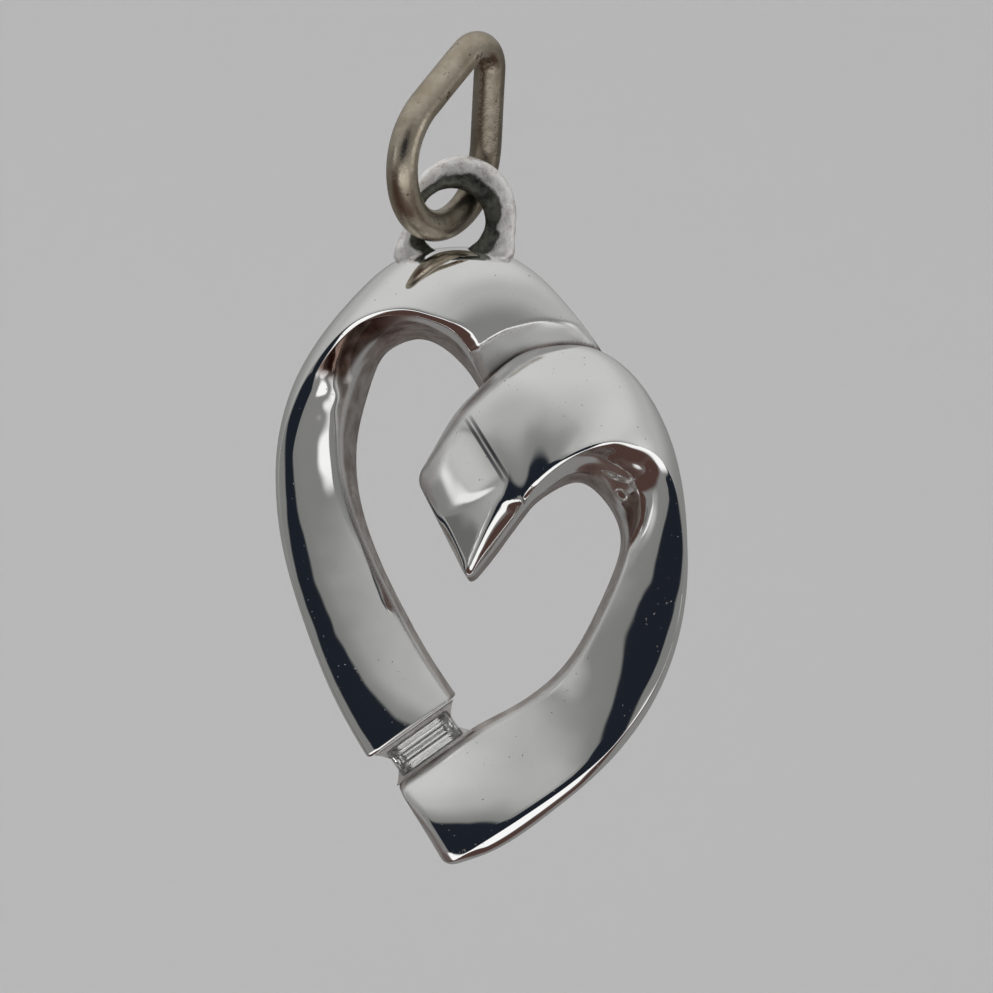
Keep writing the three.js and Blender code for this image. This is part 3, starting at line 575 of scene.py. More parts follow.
def work_at(table, t):
    table = np.array(table)
    return [np.interp(t, table[:, 0], table[:, k]) for k in (1, 2, 3, 4)]


print("work on the right ribbon's tip:", work_at(RIGHT_WORK, 17.0))

# %% Shares of the finishes
BUFF_EDGE, BACK_CAST, BACK_SATIN = 0.1, 0.45, 0.8
INNER_LINE, CRESCENT, FLAP_EDGE = slice(63, 74), slice(37, 64), slice(0, 9)
# places along a ribbon where a finish comes in and where it goes out
RIGHT_UNEVEN, LEFT_UNEVEN, LEFT_UNEVEN_SHARE = ((5.4, 6.4), (9.5, 11.5)), ((5.3, 6.0), (6.6, 7.4)), 0.35
CRESCENT_SPAN = ((6.3, 6.7), (8.2, 9.2))
TIP_SATIN, FLAP_SATIN, SADDLE_UNEVEN = (18.84, 18.93), (5.2, 4.2), (11.0, 12.0)
SOLDER_LINE, SOLDER_SHARE, GROOVE_SATIN, GROOVE_UNEVEN = (0.14, 0.05), 0.8, (-0.1, 0.3), 0.8


def fade(low, high, value):
    share = np.clip((value - low) / (high - low), 0, 1)
    return share * share * (3 - 2 * share)


def between(span, t):
    (in_from, in_to), (out_from, out_to) = span
    return fade(in_from, in_to, t) * fade(out_to, out_from, t)


def across(part):
    """From 0 to 1 over the points of a part of the section."""
    return np.linspace(0, 1, part.stop - part.start)


def section_finish(loop, t, flap, buffed):
    """The shares of each finish at the points of a section."""
    finish = np.zeros((len(loop), len(FINISHES)))
    # The darker cast share is partly the cast skin's own colour and partly painted shade and reflection bands, on the
    # faces past the buff, on the inner edges and on the walls.
    finish[FACE, AS_CAST] = fade(buffed, buffed + BUFF_EDGE, across(FACE))
    finish[EDGE, AS_CAST] = np.maximum(fade(0.3, 1, across(EDGE)), fade(buffed, buffed + BUFF_EDGE, 1.0))
    finish[WALL, AS_CAST] = 1.0
    finish[BACK, AS_CAST] = BACK_CAST
    finish[BACK, SATIN] = BACK_SATIN
    finish[INNER_LINE, SATIN] = fade(0, 0.7, across(INNER_LINE))
    filed = fade(0, 0.25, across(INSIDE))
    if flap:
        finish[INSIDE, UNEVEN] = between(RIGHT_UNEVEN, t) * filed
        finish[FRONT, SATIN] = np.maximum(finish[FRONT, SATIN], fade(*TIP_SATIN, t))
        finish[FLAP_EDGE, SATIN] = fade(*FLAP_SATIN, t) * fade(1, 0.3, across(FLAP_EDGE))
    else:
        finish[INSIDE, UNEVEN] = LEFT_UNEVEN_SHARE * between(LEFT_UNEVEN, t) * filed
        # The crescent's brown is a painted reflection.
        finish[CRESCENT, SOLDER] = between(CRESCENT_SPAN, t) * fade(1, 0.75, across(CRESCENT))
        apart, width = to_seam(loop[OUTSIDE])
        # The thin brown line along the seam is painted shade.
        finish[OUTSIDE, SOLDER] = SOLDER_SHARE * fade(*SOLDER_LINE, apart)
        finish[OUTSIDE, SATIN] = fade(*GROOVE_SATIN, width - apart)
        finish[OUTSIDE, UNEVEN] = GROOVE_UNEVEN * finish[OUTSIDE, SATIN] * fade(*SADDLE_UNEVEN, t)
    return finish


print("finishes:", FINISHES)

# %% [markdown]
# ## One section
# The dome leaves the outer edge upright and meets the rim at the station's slope, the flap and the groove are taken
# from it, and the corners are rounded by as much as the polishing took off. Last, the hand-filed faces get hollows and
# swells of a few hundredths of a millimetre, which break up the reflections.

# %% The dome and the hand-filed waves
DOME_RISE, DOME_REACH, BOXY_RISE, BOXY_REACH = 0.6, 0.45, 0.37, 0.47
UNEVEN_WAVES, UNEVEN_LENGTHS, UNEVEN_DEPTH, UNEVEN_PUSH, UNEVEN_SEED = 10, (0.7, 1.5), 0.03, 0.7, 11


def crossing_waves(points, seed, count, draw_way):
    """Smooth hollows and swells, the sum of a few waves that cross."""
    roll = np.random.default_rng(seed)
    total = np.zeros(len(points))
    for _ in range(count):
        total += np.sin(points @ draw_way(roll) + roll.uniform(0, 2 * math.pi))
    return total


def filed_way(roll):
    way = roll.normal(size=3)
    return way * (2 * math.pi / (np.linalg.norm(way) * roll.uniform(*UNEVEN_LENGTHS)))


def dome_curve(outer, rim, slope, boxy):
    sideways = level(outer - rim, 0)
    reach = DOME_REACH + BOXY_REACH * boxy
    shoulder = rim + sideways * reach
    shoulder[2] = rim[2] + math.tan(slope) * np.linalg.norm(sideways) * reach
    rise = (DOME_RISE + BOXY_RISE * boxy) * (max(rim[2], shoulder[2]) - outer[2])
    return bezier((outer, outer + np.array([0, 0, rise]), shoulder, rim), DENSE)


print("waves:", UNEVEN_WAVES, "of", UNEVEN_LENGTHS, "mm, depth", UNEVEN_DEPTH, "mm")

# %% Draw one section
EDGE_ROUND, RIM_FULLNESS, BACK_BEVEL, WALL_STEPS = 0.2, 0.2, 0.2, 24
FLAP_END, FLAP_CLEAR_FROM, FLAP_CLEAR = 5.0, 1.4, 0.5
HIDDEN_SPAN, HIDDEN_LIFT = (12.0, 13.0), 0.06  # keeps the hidden end's back out of the other ribbon's back


def flat_way(start, end):
    """The level direction from one point to another."""
    way = level(end - start, 0)
    return way / np.linalg.norm(way)


def section_points(course, t, flap=False):
    """One closed section in (x, z, height), and its points' shares of each finish."""
    dome_round, face_round, buffed, boxy = work_at(RIGHT_WORK if flap else LEFT_WORK, t)
    values = course(t)
    outer, rim, inner = values[0:3], values[3:6], values[6:9]
    slope, fullness, wall_lean = math.radians(values[9]), values[10], values[11]
    inward, outward = flat_way(rim, inner), flat_way(inner, outer)
    dome = dome_curve(outer, rim, slope, boxy)
    if flap and t < FLAP_END:
        clear = FLAP_CLEAR * max(t - FLAP_END + FLAP_CLEAR_FROM, 0) ** 2
        dome, rim = planed(dome, clear), planed(rim, clear)
    if not flap:
        dome, rim = seamed(dome), seamed(rim)
    bulge = (rim + inner) / 2 + np.array([0, 0, fullness * (rim[2] - inner[2]) / 2])
    hole = level(inner + inward * wall_lean, BACK_BEVEL)
    back_hole = level(hole - inward * BACK_BEVEL, 0)
    back_outer = level(outer - outward * BACK_BEVEL, 0)
    dome_part = even_points(dome, 0, dome_round, DOME_COUNT)
    face_part = even_points(bezier((rim, bulge, inner), DENSE), face_round, EDGE_ROUND, FACE_COUNT)
    wall_part = even_points(np.linspace(inner, hole, WALL_STEPS), EDGE_ROUND, 0, WALL_COUNT)
    before, after = dome_part[-1], face_part[0]
    pulls = (before + RIM_FULLNESS * (rim - before), after + RIM_FULLNESS * (rim - after))
    parts = [
        dome_part,
        bezier((before, *pulls, after), ARC_COUNT + 2)[1:-1],
        face_part,
        corner(face_part[-1], inner, wall_part[0], ARC_COUNT),
        wall_part,
        corner(wall_part[-1], level(hole, 0), back_hole, CORNER_COUNT),
        np.linspace(back_hole, back_outer, BACK_COUNT),
        corner(back_outer, level(outer, 0), outer, CORNER_COUNT),
    ]
    loop = np.concatenate(parts)
    finish = section_finish(loop, t, flap, buffed)
    if not flap:
        loop[BACK, 2] = np.maximum(loop[BACK, 2], HIDDEN_LIFT * fade(*HIDDEN_SPAN, t))
    waves = crossing_waves(loop, UNEVEN_SEED, UNEVEN_WAVES, filed_way) / math.sqrt(UNEVEN_WAVES)
    push = inward * UNEVEN_PUSH + np.array([0, 0, UNEVEN_PUSH])
    loop += push * (UNEVEN_DEPTH * finish[:, UNEVEN] * waves)[:, None]
    return loop, finish


sample, _ = section_points(left_course, 2.0)
print("points in a section:", len(sample), "height of the rim:", round(sample[:, 2].max(), 2), "mm")

# %% [markdown]
# ## Skinning a ribbon
# The sections are skinned into one closed mesh. The cut ends are not left knife sharp: the last sections are drawn in
# towards their middles on a quarter circle, which gives the rounded end edges of a filed and polished cut.

# %% Faces between sections
def tube_faces(rows, columns, ring=False):
    """Faces between rows of points, each row a closed loop. In a ring the last row joins the first."""
    faces = []
    for i in range(rows if ring else rows - 1):
        here, there = i * columns, (i + 1) % rows * columns
        for j in range(columns):
            k = (j + 1) % columns
            faces.append((here + j, here + k, there + k, there + j))
    return faces


def capped_faces(rows, columns):
    """Faces of a tube whose ends are closed round two more points."""
    faces, size = tube_faces(rows, columns), rows * columns
    for hub, start in ((size, 0), (size + 1, size - columns)):
        faces += [(hub, start + j, start + (j + 1) % columns) for j in range(columns)]
    return faces


def closed_mesh(name, points, faces):
    """A mesh whose faces all look outwards."""
    mesh = bpy.data.meshes.new(name)
    mesh.from_pydata([tuple(p) for p in points], [], faces)
    work = bmesh.new()
    work.from_mesh(mesh)
    bmesh.ops.recalc_face_normals(work, faces=work.faces)
    work.to_mesh(mesh)
    work.free()
    return mesh


def keep_shares(mesh, name, values):
    mesh.attributes.new(name, "FLOAT", "POINT").data.foreach_set("value", values)


print("faces between two rows of three points:", tube_faces(2, 3))

# %% Skin the ribbons
CUT_END_ROUND, FREE_END_ROUND, MOST_DRAWN = 0.12, 0.32, 0.5
STEPS_PER_STATION, END_STEPS, RIBBON_CREASE = 22, 6, 50


def to_frame(points):
    """(x, z, height) in mm to the row frame in metres."""
    x = wire_in_eye[0] + points[..., 0]
    y = wire_in_eye[1] + BACK_TO_EYE - points[..., 2]
    z = wire_in_eye[2] - DATUM_DROP + points[..., 1]
    return np.stack([x, y, z], -1) * MM


def end_rounded(grid, reach):
    """Draws in the first sections of a grid towards their middles, so that the end edge is a quarter round."""
    middles = grid.mean(1)
    steps = np.linalg.norm(np.diff(middles, axis=0), axis=1)
    away = np.concatenate([[0], np.cumsum(steps)])
    for k in np.flatnonzero(away < reach):
        inset = reach - math.sqrt(reach**2 - (reach - away[k]) ** 2)
        inwards = middles[k] - grid[k]
        length = np.linalg.norm(inwards, axis=1, keepdims=True)
        grid[k] += inwards * np.minimum(inset / length, MOST_DRAWN)
    return grid


def ribbon(name, course, last, end_round, flap=False):
    body = np.linspace(0, last, int(last * STEPS_PER_STATION) + 1)
    near = np.linspace(0, body[1], END_STEPS + 1)[1:-1]
    ts = np.unique(np.concatenate([body, near, body[1] + near, last - near, last - body[1] - near]))
    made = [section_points(course, t, flap) for t in ts]
    grid = to_frame(np.stack([m[0] for m in made]))
    grid = end_rounded(grid, end_round * MM)
    grid = end_rounded(grid[::-1].copy(), end_round * MM)[::-1].copy()
    points = np.concatenate([grid.reshape(-1, 3), [grid[0].mean(0), grid[-1].mean(0)]])
    mesh = closed_mesh(name, points, capped_faces(*grid.shape[:2]))
    smooth(mesh, RIBBON_CREASE)
    for k, finish in enumerate(FINISHES):
        keep_shares(mesh, finish, np.concatenate([np.ravel([m[1][:, k] for m in made]), [0.0, 0.0]]))
    print(name, "faces:", len(mesh.polygons))
    return link(name, mesh)


left_ribbon = ribbon("left_ribbon_polished", left_course, len(LEFT_STATIONS) - 1, CUT_END_ROUND)
right_ribbon = ribbon("right_ribbon_polished", right_course, len(RIGHT_STATIONS) - 1, FREE_END_ROUND, flap=True)

# %% [markdown]
# ## Silver
# Polished silver is a bright metal with almost no roughness. What makes it real is small: buffing leaves faint waves
# and casting leaves pits. Two thin dark lines at the flap's fold are a painted reflection. Where a section's points
# say so, the metal is lumpy or satin, duller and mottled as cast, which is partly painted shade and reflection, or
# brown, which is painted shade along the seam and a painted reflection in the left lobe's crescent.

# %% Make the silver
FOLD_LINE_EDGE, FOLD_LINE_REACH, FOLD_LINE_HEIGHT = (-0.06, 0.06), (-0.1, 2.2), (1.2, 4.2)
FOLD_LINES = (0.0, 0.16)


def fold_line(paint, offset):
    """A thin line along the flap's fold, a little way in front of it, where a dark reflection is painted."""
    start = to_frame(np.array([*(FLAP_APEX + offset * FLAP_AWAY), 0.0]))
    from_start = paint.out("ShaderNodeVectorMath", {0: paint.place, 1: start}, operation="SUBTRACT")
    shares = []
    for way, limits in (
        ((FLAP_AWAY[0], 0, FLAP_AWAY[1]), FOLD_LINE_EDGE),
        ((FLAP_ALONG[0], 0, FLAP_ALONG[1]), FOLD_LINE_REACH),
        ((0, -1, 0), FOLD_LINE_HEIGHT),
    ):
        measured = paint.out("ShaderNodeVectorMath", {0: from_start, 1: way}, "Value", operation="DOT_PRODUCT")
        span = paint.spread(measured, 0, 1, limits[0] * MM, limits[1] * MM)
        bend = paint.node("ShaderNodeFloatCurve", {"Value": span})
        points = bend.mapping.curves[0].points
        points[0].location, points[1].location = (0, 0), (1, 0)
        points.new(0.5, 1)
        shares.append(bend.outputs["Value"])
    edge, reach, height = shares
    return paint.sum_of("MULTIPLY", paint.sum_of("MULTIPLY", edge, reach), height)


def silver_material():
    paint = Paint("polished_silver")
    cast, uneven, solder, satin = (paint.share_of(name) for name in FINISHES)
    haze, blotch = paint.noise(700, 3), paint.noise(1600, 4)
    colour = paint.ramp(haze, (0.3, (0.9, 0.895, 0.885)), (0.7, (0.94, 0.94, 0.935)))
    soot = paint.ramp(blotch, (0.3, (0.08, 0.085, 0.1)), (0.7, (0.14, 0.14, 0.15)))
    # The dark colour laid along the two fold lines is a painted reflection.
    for offset in FOLD_LINES:
        colour = paint.mix(fold_line(paint, offset), colour, soot)
    # The duller cast colour is partly the cast skin's own and partly painted shade and reflection.
    dull = paint.ramp(blotch, (0.35, (0.4, 0.335, 0.31)), (0.65, (0.66, 0.61, 0.58)))
    colour = paint.mix(cast, colour, dull)
    # The brown is painted: shade along the seam and a reflection in the left lobe's crescent.
    brown = paint.ramp(blotch, (0.35, (0.09, 0.05, 0.04)), (0.65, (0.26, 0.18, 0.15)))
    colour = paint.mix(solder, colour, brown)
    pit = paint.ramp(paint.noise(9000, 2), (0.735, (0, 0, 0)), (0.76, (1, 1, 1)))
    stain = paint.ramp(blotch, (0.4, (0.3, 0.27, 0.24)), (0.6, (0.45, 0.42, 0.4)))
    colour = paint.mix(pit, colour, stain)
    rough = paint.sum_of("MAXIMUM", paint.spread(cast, 0.05, 0.38), paint.spread(satin, 0.05, 0.42))
    buffed = paint.bump(paint.noise(330, 2), 0.00006, 1.0)
    lumpy = paint.bump(paint.noise(850, 1), 0.0001, uneven, buffed)
    rough_cast = paint.bump(blotch, 0.00012, cast, lumpy)
    pitted = paint.bump(pit, -0.00001, 0.6, rough_cast)
    return paint.coat({"Metallic": 1.0, "Base Color": colour, "Roughness": rough, "Normal": pitted})


polished_silver = silver_material()
for piece, node in ((left_ribbon, "left_ribbon"), (right_ribbon, "right_ribbon")):
    piece.data.materials.append(polished_silver)
    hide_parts(node)
    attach(piece, "heart")
print("silver on:", left_ribbon.name, right_ribbon.name)

# %% [markdown]
# ## The ring's metal
# The ring is duller and warmer than the heart, as nickel silver is, with a bloom of tarnish and small rusty pits. Its
# rear limb is painted darker still, as painted shade.

# %% Make the nickel silver
REAR_LIMB = (-0.6, 0.8)


def nickel_material():
    paint = Paint("nickel_silver")
    bloom = paint.noise(900, 6, 0.62)
    colour = paint.ramp(bloom, (0.36, (0.44, 0.375, 0.285)), (0.62, (0.62, 0.55, 0.45)))
    spot = paint.ramp(paint.noise(3800, 3, 0.6), (0.64, (0, 0, 0)), (0.7, (1, 1, 1)))
    rust = paint.ramp(bloom, (0.4, (0.16, 0.1, 0.06)), (0.6, (0.27, 0.22, 0.17)))
    colour = paint.mix(spot, colour, rust)
    # The rear limb's darker colour is painted shade.
    depth = paint.out("ShaderNodeSeparateXYZ", {"Vector": paint.place}, "Y")
    behind = paint.spread(depth, 0, 1, REAR_LIMB[0] * MM, REAR_LIMB[1] * MM)
    dim = paint.ramp(bloom, (0.36, (0.2, 0.165, 0.12)), (0.62, (0.33, 0.285, 0.225)))
    colour = paint.mix(behind, colour, dim)
    gloss = paint.spread(bloom, 0.38, 0.24, 0.35, 0.65)
    grainy = paint.bump(paint.noise(5200, 4, 0.6), 0.00002, 0.6)
    pitted = paint.bump(spot, -0.000015, 0.6, grainy)
    return paint.coat({"Metallic": 1.0, "Base Color": colour, "Roughness": gloss, "Normal": pitted})


nickel_silver = nickel_material()
print("finish:", nickel_silver.name)

# %% [markdown]
# ## The jump ring
# The ring is one wire bent to a teardrop: a wide arc below, a tight arc above and two straight legs. It could be drawn
# as a curve by hand, but its shape follows a rule, so Geometry Nodes build it from the arcs' sizes: three arcs turn to
# points, the points join in order to one path, and a round profile runs along the path. A touch of noise bends the
# wire as pliers do. The two ends almost meet at the seam, as in a real ring that is pushed shut.

# %% A node tree and how it is run
BOTTOM_RADIUS = 2.1
RING_SIZES = (
    ("Wire diameter", 0.95 * MM),
    ("Bottom radius", BOTTOM_RADIUS * MM),
    ("Top radius", 0.8 * MM),
    ("Arc spacing", 2.7 * MM),
    ("Seam gap", 0.06 * MM),
    ("Seam angle", math.radians(-10)),
    ("Wander", 0.05 * MM),
)


def rule_tree(name, sizes):
    """A Geometry Nodes tree with a socket for each size."""
    net = bpy.data.node_groups.new(name, "GeometryNodeTree")
    for side in ("INPUT", "OUTPUT"):
        net.interface.new_socket("Geometry", in_out=side, socket_type="NodeSocketGeometry")
    for size, value in sizes:
        net.interface.new_socket(size, in_out="INPUT", socket_type="NodeSocketFloat").default_value = value
    tree = Wiring(net)
    entry = tree.node("NodeGroupInput")
    return tree, [entry.outputs[size] for size, _ in sizes]


def run_tree(name, tree, geometry, material):
    """Runs a tree on an empty mesh and returns its result as a plain mesh object."""
    real = tree.out("GeometryNodeRealizeInstances", {"Geometry": geometry})
    coat = tree.out("GeometryNodeSetMaterial", {"Geometry": real, "Material": material})
    tree.put(tree.node("NodeGroupOutput").inputs[0], coat)
    holder = link(name + "_tree", bpy.data.meshes.new(name + "_tree"))
    holder.modifiers.new("tree", "NODES").node_group = tree.net
    ready = holder.evaluated_get(bpy.context.evaluated_depsgraph_get())
    mesh = bpy.data.meshes.new_from_object(ready)
    mesh.name = name
    bpy.data.objects.remove(holder)
    return link(name, mesh)


print("sizes:", RING_SIZES)

# %% Bend the ring
WANDER_SCALE = 420.0
ARC_STEPS, WIRE_STEPS, WIRE_SIDES = 60, 260, 32
NEXT_ARC = 1000.0  # keeps the points of one arc after those of the arc before


def bent_ring(name, material):
    tree, sizes = rule_tree("teardrop_ring", RING_SIZES)
    wire, bottom, top, spacing, gap, seam, wander = sizes
    lean = tree.sum_of("ARCSINE", tree.sum_of("DIVIDE", tree.sum_of("SUBTRACT", bottom, top), spacing))
    half_gap = tree.sum_of("DIVIDE", tree.sum_of("MULTIPLY", gap, 0.5), bottom)
    first = tree.sum_of("ADD", seam, half_gap)
    left = tree.sum_of("SUBTRACT", math.pi, lean)
    last = tree.sum_of("SUBTRACT", tree.sum_of("ADD", seam, 2 * math.pi), half_gap)
    joined = tree.node("GeometryNodeJoinGeometry")
    index = tree.out("GeometryNodeInputIndex")
    arcs = ((bottom, 0.0, first, lean), (top, spacing, lean, left), (bottom, 0.0, left, last))
    for order, (radius, height, start, end) in enumerate(arcs):
        turn = tree.sum_of("SUBTRACT", end, start)
        values = {"Resolution": ARC_STEPS, "Radius": radius, "Start Angle": start, "Sweep Angle": turn}
        arc = tree.out("GeometryNodeCurveArc", values)
        lift = tree.out("ShaderNodeCombineXYZ", {"Y": height})
        lifted = tree.out("GeometryNodeTransform", {"Geometry": arc, "Translation": lift})
        points = tree.out("GeometryNodeCurveToPoints", {"Curve": lifted}, mode="EVALUATED")
        kept = {"Geometry": points, "Name": "order", "Value": tree.sum_of("ADD", index, NEXT_ARC * order)}
        tree.put(joined.inputs[0], tree.out("GeometryNodeStoreNamedAttribute", kept))
    order = tree.out("GeometryNodeInputNamedAttribute", {"Name": "order"})
    path = tree.out("GeometryNodePointsToCurves", {"Points": joined.outputs[0], "Weight": order})
    even = tree.out("GeometryNodeResampleCurve", {"Curve": path, "Count": WIRE_STEPS})
    here = tree.out("GeometryNodeInputPosition")
    drift = tree.out("ShaderNodeTexNoise", {"Vector": here, "Scale": WANDER_SCALE, "Detail": 1.0}, "Color")
    centred = tree.out("ShaderNodeVectorMath", {0: drift, 1: (0.5, 0.5, 0.5)}, operation="SUBTRACT")
    push = tree.out("ShaderNodeVectorMath", {0: centred, "Scale": wander}, operation="SCALE")
    bent = tree.out("GeometryNodeSetPosition", {"Geometry": even, "Offset": push})
    radius = tree.sum_of("MULTIPLY", wire, 0.5)
    profile = tree.out("GeometryNodeCurvePrimitiveCircle", {"Resolution": WIRE_SIDES, "Radius": radius})
    values = {"Curve": bent, "Profile Curve": profile, "Fill Caps": True}
    return run_tree(name, tree, tree.out("GeometryNodeCurveToMesh", values), material)


jump_ring = bent_ring("jump_ring_wire", nickel_silver)
print("ring faces:", len(jump_ring.data.polygons), "straight from the tree")

# %% [markdown]
# ## Hanging the ring
# The ring is made flat. In the photograph it stands turned away and leaning, with its wire through the eye, so it is
# turned about the point of its wire that rests in the eye and moved there.

# %% Hang the ring in the eye
RING_YAW, RING_LEAN, RING_TIP, EYE_ANGLE = (math.radians(a) for a in (55, 18, 11, -53))
WIRE_CREASE = 50

rest_point = Vector((BOTTOM_RADIUS * math.cos(EYE_ANGLE), BOTTOM_RADIUS * math.sin(EYE_ANGLE), 0)) * MM
stand = Matrix.Rotation(RING_YAW, 4, "Z") @ Matrix.Rotation(math.pi / 2 + RING_TIP, 4, "X")
stand = stand @ Matrix.Rotation(-RING_LEAN, 4, "Z") @ Matrix.Translation(-rest_point)
jump_ring.data.transform(Matrix.Translation(Vector(wire_in_eye * MM)) @ stand)
smooth(jump_ring.data, WIRE_CREASE)
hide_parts("jump_ring")
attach(jump_ring, "ring")
print("ring faces:", len(jump_ring.data.polygons), "box, mm:", [round(v / MM, 2) for v in jump_ring.dimensions])

# %% [markdown]
# ## The hanging eye
# The eye is a small cast loop soldered on the left lobe. Its hole sits off centre, so the loop is thin at the left and
# stout at the right, and solder fills the corners where its feet stand. A torus would be too even. Here two closed
# outlines, one round the hole and one round the outside with its feet, are joined by rounded sections, and a little
# noise makes the file marks and lumps of solder.

# %% Shape the eye
EYE_DEPTH = 0.6
HOLE_CENTRE, HOLE_RADIUS = np.array([0.15, 0.15]), 0.95
EYE_CENTRE = np.array([0.42, 0.45])
EYE_TURNS, EYE_SIDES, EYE_SMOOTHINGS, EYE_SQUARENESS = 220, 40, 6, 0.8
# angle round the eye's centre in degrees, and how far the outline reaches there
EYE_OUTLINE = [
    (0, 1.68), (120, 1.68), (150, 1.66), (175, 1.68), (195, 1.8), (208, 2.18), (216, 2.62), (224, 2.35),
    (240, 1.95), (270, 1.72), (300, 1.85), (314, 2.12), (321, 2.1), (330, 1.88), (345, 1.72),
]
# fineness of the lumps, their seed, their height everywhere and what solder adds to it at the feet
EYE_LUMPS = ((3.2, 5, 0.012, 0.03), (9.0, 8, 0.006, 0.014))
LUMP_INSET, SOLDER_DEPTH = 0.03, 1.6
TARNISH, TARNISH_INSIDE, TARNISH_SPOTS, SPOT_FINENESS, SPOT_SEED = 0.45, 1.7, 0.35, 4.0, 3
WOBBLE_WAVES = 9


def wobble(points, fineness, seed):
    """Made-up unevenness between about -1 and 1."""
    total = crossing_waves(points, seed, WOBBLE_WAVES, lambda roll: roll.normal(size=3) * fineness)
    return total / (WOBBLE_WAVES / 2)


def squared(wave):
    return np.sign(wave) * np.abs(wave) ** EYE_SQUARENESS


def eye_grid():
    """Points of the eye by turns and sides, and how tarnished each one is."""
    turn = np.linspace(0, 360, EYE_TURNS, endpoint=False)
    extent = np.interp(turn, *np.array(EYE_OUTLINE).T, period=360)
    for _ in range(EYE_SMOOTHINGS):
        extent = (np.roll(extent, 1) + extent + np.roll(extent, -1)) / 3
    way = np.stack([np.cos(np.radians(turn)), np.sin(np.radians(turn))], 1)
    outer = EYE_CENTRE + way * extent[:, None]
    inner = HOLE_CENTRE + way * HOLE_RADIUS
    middle, half = (outer + inner) / 2, (outer - inner) / 2
    around = np.linspace(0, 2 * math.pi, EYE_SIDES, endpoint=False)
    outness, depth = squared(np.cos(around)), squared(np.sin(around))
    grid = np.zeros((EYE_TURNS, EYE_SIDES, 3))
    grid[..., :2] = middle[:, None] + half[:, None] * outness[:, None]
    grid[..., 2] = BACK_TO_EYE + EYE_DEPTH / 2 * depth
    flat = grid.reshape(-1, 3)
    low = np.clip((EYE_CENTRE[1] - flat[:, 1]) / SOLDER_DEPTH, 0, 1)
    outwards = flat - np.repeat(np.c_[middle, np.full(EYE_TURNS, BACK_TO_EYE)], EYE_SIDES, 0)
    outwards /= np.linalg.norm(outwards, axis=1, keepdims=True)
    lump = sum(wobble(flat, fineness, seed) * (all_over + more * low) for fineness, seed, all_over, more in EYE_LUMPS)
    flat = flat + outwards * (lump - LUMP_INSET)[:, None]
    spots = TARNISH_SPOTS * wobble(flat, SPOT_FINENESS, SPOT_SEED)
    return flat, np.clip(TARNISH - np.tile(outness, EYE_TURNS) * TARNISH_INSIDE + spots, 0, 1)


eye_points, eye_tarnish = eye_grid()
eye_mesh = closed_mesh("hanging_eye_cast", to_frame(eye_points), tube_faces(EYE_TURNS, EYE_SIDES, ring=True))
smooth(eye_mesh)
keep_shares(eye_mesh, "tarnish", eye_tarnish)
hanging_eye = link("hanging_eye_cast", eye_mesh)
print("eye faces:", len(eye_mesh.polygons))

# %% [markdown]
# ## The eye's finish
# The eye keeps its grainy cast skin: whitish outside, where it was pickled clean, and nearly black in the hole, where
# tarnish stays. The points carry how tarnished they are, and the grain makes the border between the two ragged.

# %% Finish the eye
GRAIN_PULL, TARNISH_EDGE = 1.3, (1.0, 1.3)


def cast_material(name, gloss_low, gloss_high):
    paint = Paint(name)
    grain = paint.noise(2600, 5, 0.65)
    pale = paint.ramp(grain, (0.35, (0.7, 0.66, 0.64)), (0.6, (0.92, 0.91, 0.9)))
    dark = paint.ramp(grain, (0.35, (0.035, 0.037, 0.03)), (0.65, (0.14, 0.14, 0.12)))
    worn = paint.sum_of("MULTIPLY_ADD", grain, GRAIN_PULL, paint.share_of("tarnish"))
    colour = paint.mix(paint.spread(worn, 0.0, 1.0, *TARNISH_EDGE), pale, dark)
    gloss = paint.spread(grain, gloss_low, gloss_high, 0.3, 0.7)
    coarse = paint.bump(grain, 0.00006, 0.8)
    return paint.coat({"Metallic": 0.7, "Base Color": colour, "Roughness": gloss, "Normal": coarse})


cast_silver = cast_material("cast_silver", 0.2, 0.5)
hanging_eye.data.materials.append(cast_silver)
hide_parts("hanging_eye")
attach(hanging_eye, "heart")
print("finish on:", hanging_eye.name)

# %% [markdown]
# ## The seat and the stone
# A small clear baguette lies in a silver seat between the cut ends of the ribbons. The seat is a bar with hollowed
# ends and a bed for the stone, so one plan outline, moved up in steps, makes it: the top edge is drawn in a little to
# round it. The stone is a step cut: rectangles at rising heights, with flat facets, because facets must not be
# smoothed.

# %% Cut the seat
SEAT_HALF_LENGTH, SEAT_HALF_WIDTH, SEAT_HORN, HORN_CURVE, PLAN_STEPS = 1.24, 0.57, 0.2, 1.6, 17
BED_HALF_LENGTH, BED_HALF_WIDTH = 1.08, 0.43
SEAT_FOOT, SEAT_TOP, SEAT_BED = 0.2, 0.72, 0.34
SEAT_EDGE = ((0.05, 0.0), (0.015, 0.015), (0.0, 0.045))  # how far under the top, and how far drawn in
BED_EDGE = 0.03
SEAT_CREASE = 40


def seat_plan(inset=0.0):
    """The seat's outline from above: straight long sides and hollow ends, drawn in by an inset."""
    length, width = SEAT_HALF_LENGTH + SEAT_HORN - inset, SEAT_HALF_WIDTH - inset
    deep = SEAT_HALF_LENGTH - SEAT_HORN - inset
    points = []
    for side in (1, -1):
        for a in np.linspace(-1, 1, PLAN_STEPS):
            points.append((side * (deep + (length - deep) * abs(a) ** HORN_CURVE), side * a * width))
        for a in np.linspace(1, -1, PLAN_STEPS)[1:-1]:
            points.append((side * length * a, side * width))
    return points


def bed_plan(inset):
    """Points on the bed's rectangle at the angles of the seat's outline, so the two can be bridged."""
    length, width = BED_HALF_LENGTH - inset, BED_HALF_WIDTH - inset
    points = []
    for x, y in seat_plan():
        share = max(abs(x) / length, abs(y) / width)
        points.append((x / share, y / share))
    return points


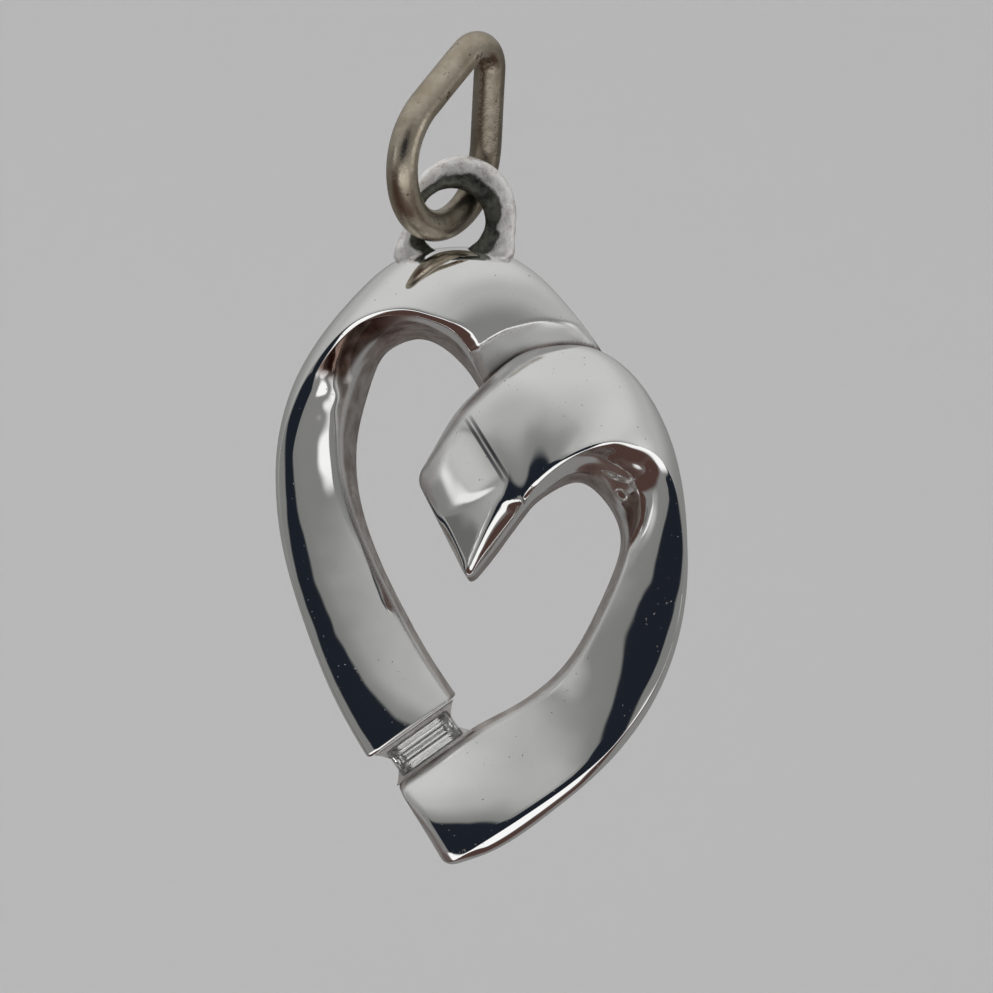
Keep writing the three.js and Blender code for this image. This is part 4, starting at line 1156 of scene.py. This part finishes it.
def seat_piece():
    layers = [(seat_plan(), SEAT_FOOT)]
    layers += [(seat_plan(inset), SEAT_TOP - drop) for drop, inset in SEAT_EDGE]
    layers += [(bed_plan(-BED_EDGE), SEAT_TOP), (bed_plan(0.0), SEAT_TOP - BED_EDGE), (bed_plan(0.0), SEAT_BED)]
    points = [in_channel(x, y, height) for plan, height in layers for x, y in plan]
    points += [in_channel(0, 0, SEAT_FOOT), in_channel(0, 0, SEAT_BED)]
    return to_frame(np.array(points)), capped_faces(len(layers), len(seat_plan()))


stone_seat = link("stone_seat_polished", closed_mesh("stone_seat_polished", *seat_piece()))
smooth(stone_seat.data, SEAT_CREASE)
print("seat faces:", len(stone_seat.data.polygons))

# %% Cut the stone
STONE_HALF_LENGTH, STONE_HALF_WIDTH = 1.05, 0.4
# share of the half width that each step is drawn in, and its height
STONE_STEPS = ((0.9, 0.4), (0.65, 0.47), (0.35, 0.57), (0.0, 0.74), (0.0, 0.8), (0.18, 0.89), (0.38, 0.96), (0.6, 1.0))


def stone_piece():
    points = []
    for share, height in STONE_STEPS:
        length = STONE_HALF_LENGTH - STONE_HALF_WIDTH * share
        width = STONE_HALF_WIDTH * (1 - share)
        for x, y in ((-1, -1), (1, -1), (1, 1), (-1, 1)):
            points.append(in_channel(x * length, y * width, height))
    top = len(points) - 4
    faces = tube_faces(len(STONE_STEPS), 4) + [(0, 1, 2, 3), (top, top + 1, top + 2, top + 3)]
    return to_frame(np.array(points)), faces


baguette = link("baguette_step_cut", closed_mesh("baguette_step_cut", *stone_piece()))
print("stone facets:", len(baguette.data.polygons))

# %% [markdown]
# ## The stone's and the seat's finish
# The stone is clear and bends light strongly, as cubic zirconia does, with a breath of uneven tint and smear. A tenth
# of it is white and not clear: painted light that stands in for the light a real stone sends back from its facets.
# The seat is cast silver like the eye, but matt, because no buff gets between the ribbons' ends.

# %% Finish the seat and the stone
# What is not clear is white: painted light that stands in for the light a real stone sends back from its facets.
STONE_IOR, STONE_CLEARNESS = 2.15, 0.9


def stone_material():
    paint = Paint("clear_stone")
    cloud = paint.noise(800, 2)
    tint = paint.ramp(cloud, (0.3, (0.95, 0.97, 0.96)), (0.7, (1.0, 1.0, 0.99)))
    smear = paint.spread(cloud, 0.01, 0.05)
    clear = {"Transmission Weight": STONE_CLEARNESS, "IOR": STONE_IOR}
    return paint.coat({"Base Color": tint, "Roughness": smear, **clear})


clear_stone = stone_material()
matt_silver = cast_material("cast_silver_matt", 0.6, 0.8)
for piece, node, finish, slot in (
    (stone_seat, "stone_seat", matt_silver, "cast_silver"),
    (baguette, "baguette_stone", clear_stone, "clear_stone"),
):
    piece.data.materials.append(finish)
    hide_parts(node)
    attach(piece, "heart")
print("stone and seat ride on the heart")

# %% [markdown]
